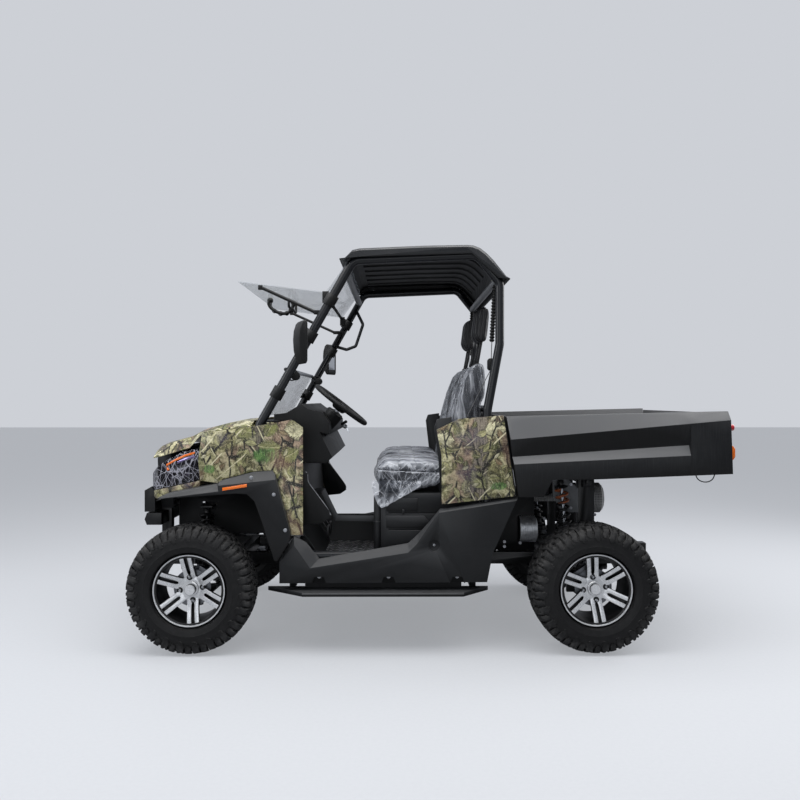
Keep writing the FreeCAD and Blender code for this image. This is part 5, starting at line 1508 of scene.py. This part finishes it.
def tube(name, points, radius, finish, sides):
    """A round bar bent through (x, y, z) points."""
    line = bpy.data.curves.new(name, "CURVE")
    line.dimensions = "3D"
    spline = line.splines.new("NURBS")
    spline.points.add(len(points) - 1)
    for point, place in zip(spline.points, points):
        point.co = (*mm(*place), 1)
    spline.order_u = 3
    spline.use_endpoint_u = True
    line.bevel_depth = radius / 1000
    line.bevel_resolution = sides
    line.use_fill_caps = True
    line.materials.append(finishes[finish])
    made = bpy.data.objects.new(name, line)
    bpy.context.scene.collection.objects.link(made)
    return made


def build_wires():
    """The two short wire loops that hang under the bed's rear corners, the only free cords."""
    for side, label in ((1, "left"), (-1, "right")):
        y = side * 685.6
        route = [(-1412, 880), (-1413, 848), (-1426, 816), (-1461, 803), (-1495, 814), (-1508, 846),
                 (-1510, 880)]
        made = tube(f"{label}_bed_wire", [(x, y, z) for x, z in route], 2.6, "dark_and_shaded_plastic", 3)
        placed(made, "bed", "black_plastic", "bed_wires")


def build_trim():
    build_mirrors()
    build_grip()
    build_screws()


def build_mirrors():
    """A bulged housing with its glass, on an arm from the pillar."""
    housing = slab("housing", [(402, 1368), (402, 1538), (407, 1550), (418, 1551), (430, 1538), (440, 1506),
                               (443, 1466), (440, 1416), (430, 1376), (419, 1356), (408, 1353)], 722, 838)
    eased(housing, 13, 4, 35)
    sunk(housing, lambda c, n: n.x < -0.95, 0.004, (0.004, 0, 0))
    painted(housing, "dark_and_shaded_plastic")
    glass = slab("glass", [(404.4, 1386), (404.4, 1522), (407, 1522), (407, 1386)], 738, 824)
    modified(glass, "BEVEL", width=0.012, segments=4, limit_method="ANGLE", angle_limit=math.radians(60))
    painted(glass, "mirror_glass")
    turn = Matrix.Translation(mm(416, 780, 1450)) @ Matrix.Rotation(math.radians(21), 4, "Z")
    turn = turn @ Matrix.Translation(-mm(416, 780, 1450))
    for piece in (housing, glass):
        piece.data.transform(turn)
    arm = cylinder("arm", (425, 640, 1440), (430, 745, 1452), 9, 24, 8)
    boot = cylinder("boot", (425, 640, 1440), (426, 664, 1442.7), 15, 24, 11)
    for piece in (arm, boot):
        painted(eased(piece, 1.5, 2), "dark_and_shaded_plastic")
    left = smoothed(joined([housing, glass, arm, boot], "left_mirror"), 40)
    both_sides(left, "chassis", "black_plastic", "mirrors")


def build_grip():
    """The padded pull under the raised pane, and the knobs that clamp the lower pane's bright rail."""
    pieces = []
    pull = tube("pull", [(676, 0, 1746), (692, 0, 1738), (690, 0, 1712), (664, 0, 1686), (624, 0, 1668),
                         (586, 0, 1670), (566, 0, 1690), (556, 0, 1712), (552, 0, 1731)], 9.5,
                "dark_and_shaded_plastic", 6)
    pieces.append(meshed(pull))
    for x, z, r in ((683, 1741, 16), (687, 1722, 13), (660, 1683, 12.5), (626, 1669, 13.5), (592, 1670, 12.5),
                    (566, 1690, 15), (553, 1726, 15)):
        bead = turned("bead", [(9, -8), (r, -5), (r, 5), (9, 8), (9, -8)], (x, 0, z), ACROSS, 24)
        pieces.append(painted(bead, "dark_and_shaded_plastic"))
    rail = cylinder("rail", (514.7, -578, 1337), (514.7, 578, 1337), 10.5, 24)
    pieces.append(painted(eased(rail, 1, 2), "trim_grey"))
    for side in (1, -1):
        knob = cylinder("knob", (470, side * 556, 1306), (470, side * 582, 1306), 22, 12)
        arm = slab("knob_arm", [(462, 1300), (474, 1292), (500, 1318), (524, 1334), (518, 1346), (494, 1332)],
                   min(side * 562, side * 576), max(side * 562, side * 576))
        hook = turned("hook", [(24, -6), (30, -6), (30, 6), (24, 6), (24, -6)], (488, side * 569, 1312),
                      ACROSS, 32)
        for piece in (knob, arm, hook):
            pieces.append(painted(eased(piece, 1.5, 2), "dark_and_shaded_plastic"))
    made = smoothed(joined(pieces, "pane_pull_and_knobs"), 45)
    placed(made, "chassis", "black_plastic")


def build_screws():
    """Pan head screws, modelled once facing sideways and copied to each place."""
    head = turned("screw", [(0, 4.2), (3.4, 4.0), (6.4, 2.6), (7.6, 0.4), (8.6, 0.2), (8.6, -1.5),
                            (0, -1.5)], (0, 0, 0), ACROSS, 24)
    sunk(head, lambda c, n: n.y > 0.95, 0.0012, (0, -0.0012, 0))
    painted(smoothed(head, 30), "steel")
    spots = [(660, 829, 700), (555, 750, 700), (502, 584, 700), (-193, 508, 660)]
    spots += [(x, 360, 664) for x in (347, 21, -301)]
    copies = []
    for x, z, y in spots:
        made = copied(head, "screw")
        made.data.transform(Matrix.Translation(mm(x, y, z) - mm(0, 0, 0)))
        copies.append(made)
    bpy.data.objects.remove(head)
    both_sides(joined(copies, "left_screws"), "chassis", "steel")


# Stage

def build_stage(settings):
    scene = bpy.context.scene
    scene.view_settings.view_transform = "Standard"
    clear()
    bpy.ops.mesh.primitive_plane_add(size=60, location=(0, 0, 0))
    floor = bpy.context.object
    floor.name = "pale_floor"
    finish = Finish("pale_floor", rgb(196, 198, 201), 0.65, specular=0.2)
    speckle = finish.noise(60.0, 3.0)
    finish.set("Base Color", finish.mix(speckle, rgb(148, 150, 154), rgb(156, 158, 161)))
    finish.set("Normal", finish.relief(finish.noise(180.0), 0.05, 0.001))
    seen = finish.node("LightPath")
    finish.set("Emission Color", rgb(226, 229, 234))
    shown = finish.math("MAXIMUM", seen["Is Camera Ray"], seen["Is Transmission Ray"])
    finish.set("Emission Strength", finish.times(shown, 0.4))
    floor.data.materials.append(finish.material)

    scene.world = bpy.data.worlds.new("studio")
    scene.world.use_nodes = True
    tree = scene.world.node_tree
    background = tree.nodes["Background"]
    rays = tree.nodes.new("ShaderNodeLightPath")
    either = tree.nodes.new("ShaderNodeMath")
    either.operation = "MAXIMUM"
    tree.links.new(rays.outputs["Is Camera Ray"], either.inputs[0])
    tree.links.new(rays.outputs["Is Transmission Ray"], either.inputs[1])
    colour = tree.nodes.new("ShaderNodeMix")
    colour.data_type = "RGBA"
    colour.inputs[6].default_value = (0.34, 0.355, 0.39, 1)
    colour.inputs[7].default_value = rgb(205, 208, 214)
    tree.links.new(either.outputs[0], colour.inputs[0])
    tree.links.new(colour.outputs[2], background.inputs["Color"])
    background.inputs["Strength"].default_value = 1.0
    for name, place, size, power, colour in (
            ("overhead", (0.0, 0.9, 3.9), (6.0, 3.6), 250.0, (1.0, 0.99, 0.98)),
            ("front_fill", (1.2, 6.5, 1.5), (5.0, 2.2), 34.0, (0.94, 0.97, 1.0)),
            ("nose_edge", (4.2, 1.8, 2.4), (2.0, 2.0), 46.0, (0.96, 0.98, 1.0)),
            ("rear_edge", (-4.0, -1.2, 2.6), (2.5, 2.5), 60.0, (1.0, 1.0, 1.0))):
        light = bpy.data.lights.new(name, "AREA")
        light.shape = "RECTANGLE"
        light.size, light.size_y = size
        light.energy = power * settings.light_level
        light.color = colour
        holder = bpy.data.objects.new(name, light)
        holder.location = place
        aim = Vector((0.1, 0.0, 0.8)) - Vector(place)
        holder.rotation_euler = aim.to_track_quat("-Z", "Y").to_euler()
        scene.collection.objects.link(holder)

    camera = bpy.data.cameras.new("photo_view")
    camera.lens = PHOTO_LENS
    camera.sensor_width = 36
    holder = bpy.data.objects.new("photo_view", camera)
    holder.location = PHOTO_SPOT
    holder.rotation_euler = (math.radians(90), 0, PHOTO_TURN)
    scene.collection.objects.link(holder)
    scene.camera = holder


# Add-on

class VehicleFinish(bpy.types.PropertyGroup):
    """Colours of the panels."""
    plastic_shade: FloatVectorProperty(
        name="Plastic", description="Colour of the moulded black panels", size=3, subtype="COLOR",
        min=0, max=1, default=(0.082, 0.087, 0.095))
    print_tint: FloatVectorProperty(
        name="Print tint", description="Colour laid thinly over the printed panels", size=3, subtype="COLOR",
        min=0, max=1, default=(0.22, 0.2, 0.12))
    print_tint_share: FloatProperty(
        name="Tint share", description="How much of the tint is laid over the print", min=0, max=1,
        subtype="FACTOR", default=0.0)
    light_level: FloatProperty(name="Light level",
                               description="Power of the studio lamps against the usual one", min=0.1,
                               max=4, default=1.0)


class VehicleShape(bpy.types.PropertyGroup):
    """Numbers of the repeated details."""
    spoke_pairs: IntProperty(
        name="Spoke pairs", description="Twin spokes on each wheel", min=4, max=8, default=6)
    spring_turns: FloatProperty(
        name="Spring turns", description="Turns of wire on each coil spring", min=4, max=16, default=12.0)


class FinishStep(bpy.types.Operator):
    """Makes the materials"""
    bl_idname = "vehicle.finishes"
    bl_label = "Make finishes"

    def execute(self, context):
        make_finishes(context.scene.vehicle_finish)
        return {"FINISHED"}


class StageStep(bpy.types.Operator):
    """Sets the floor, the lamps and the camera"""
    bl_idname = "vehicle.stage"
    bl_label = "Build stage"

    def execute(self, context):
        build_stage(context.scene.vehicle_finish)
        return {"FINISHED"}


class BodyStep(bpy.types.Operator):
    """Dresses the panels, the cage and the bed"""
    bl_idname = "vehicle.body"
    bl_label = "Build body"

    def execute(self, context):
        build_body()
        return {"FINISHED"}


class ChassisStep(bpy.types.Operator):
    """Dresses the running gear and the engine"""
    bl_idname = "vehicle.chassis"
    bl_label = "Build running gear"

    def execute(self, context):
        build_chassis(context.scene.vehicle_shape)
        return {"FINISHED"}


class WheelStep(bpy.types.Operator):
    """Models the wheels and the tyres"""
    bl_idname = "vehicle.wheels"
    bl_label = "Build wheels"

    def execute(self, context):
        build_wheels(context.scene.vehicle_shape)
        return {"FINISHED"}


class SeatStep(bpy.types.Operator):
    """Models the seats, their wraps and the belts"""
    bl_idname = "vehicle.seats"
    bl_label = "Build seats"

    def execute(self, context):
        build_seats()
        return {"FINISHED"}


class SteeringStep(bpy.types.Operator):
    """Models the steering wheel"""
    bl_idname = "vehicle.steering"
    bl_label = "Build steering wheel"

    def execute(self, context):
        build_steering_wheel()
        return {"FINISHED"}


class LampStep(bpy.types.Operator):
    """Models the lamps"""
    bl_idname = "vehicle.lamps"
    bl_label = "Build lamps"

    def execute(self, context):
        build_lamps()
        return {"FINISHED"}


class WireStep(bpy.types.Operator):
    """Hangs the wire loops under the bed"""
    bl_idname = "vehicle.wires"
    bl_label = "Hang bed wires"

    def execute(self, context):
        build_wires()
        return {"FINISHED"}


class TrimStep(bpy.types.Operator):
    """Models the mirrors, the pane's pull and the screws"""
    bl_idname = "vehicle.trim"
    bl_label = "Build trim"

    def execute(self, context):
        build_trim()
        return {"FINISHED"}


steps = (FinishStep, StageStep, WireStep, BodyStep, ChassisStep, WheelStep, SeatStep, SteeringStep, LampStep,
         TrimStep)


class VehiclePanel(bpy.types.Panel):
    """Lists the vehicle's steps and sizes in the sidebar"""
    bl_idname = "VIEW3D_PT_vehicle"
    bl_label = "Vehicle"
    bl_space_type = "VIEW_3D"
    bl_region_type = "UI"
    bl_category = "Vehicle"

    def draw(self, context):
        for group in (context.scene.vehicle_finish, context.scene.vehicle_shape):
            for name in group.__annotations__:
                self.layout.prop(group, name)
        for step in steps:
            self.layout.operator(step.bl_idname)


classes = (VehicleFinish, VehicleShape, *steps, VehiclePanel)


def register():
    for kind in classes:
        bpy.utils.register_class(kind)
    bpy.types.Scene.vehicle_finish = PointerProperty(type=VehicleFinish)
    bpy.types.Scene.vehicle_shape = PointerProperty(type=VehicleShape)


def unregister():
    del bpy.types.Scene.vehicle_shape
    del bpy.types.Scene.vehicle_finish
    for kind in reversed(classes):
        bpy.utils.unregister_class(kind)


def main():
    register()
    for step in steps:
        group, name = step.bl_idname.split(".")
        getattr(getattr(bpy.ops, group), name)()
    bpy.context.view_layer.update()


if __name__ == "__main__":
    main()
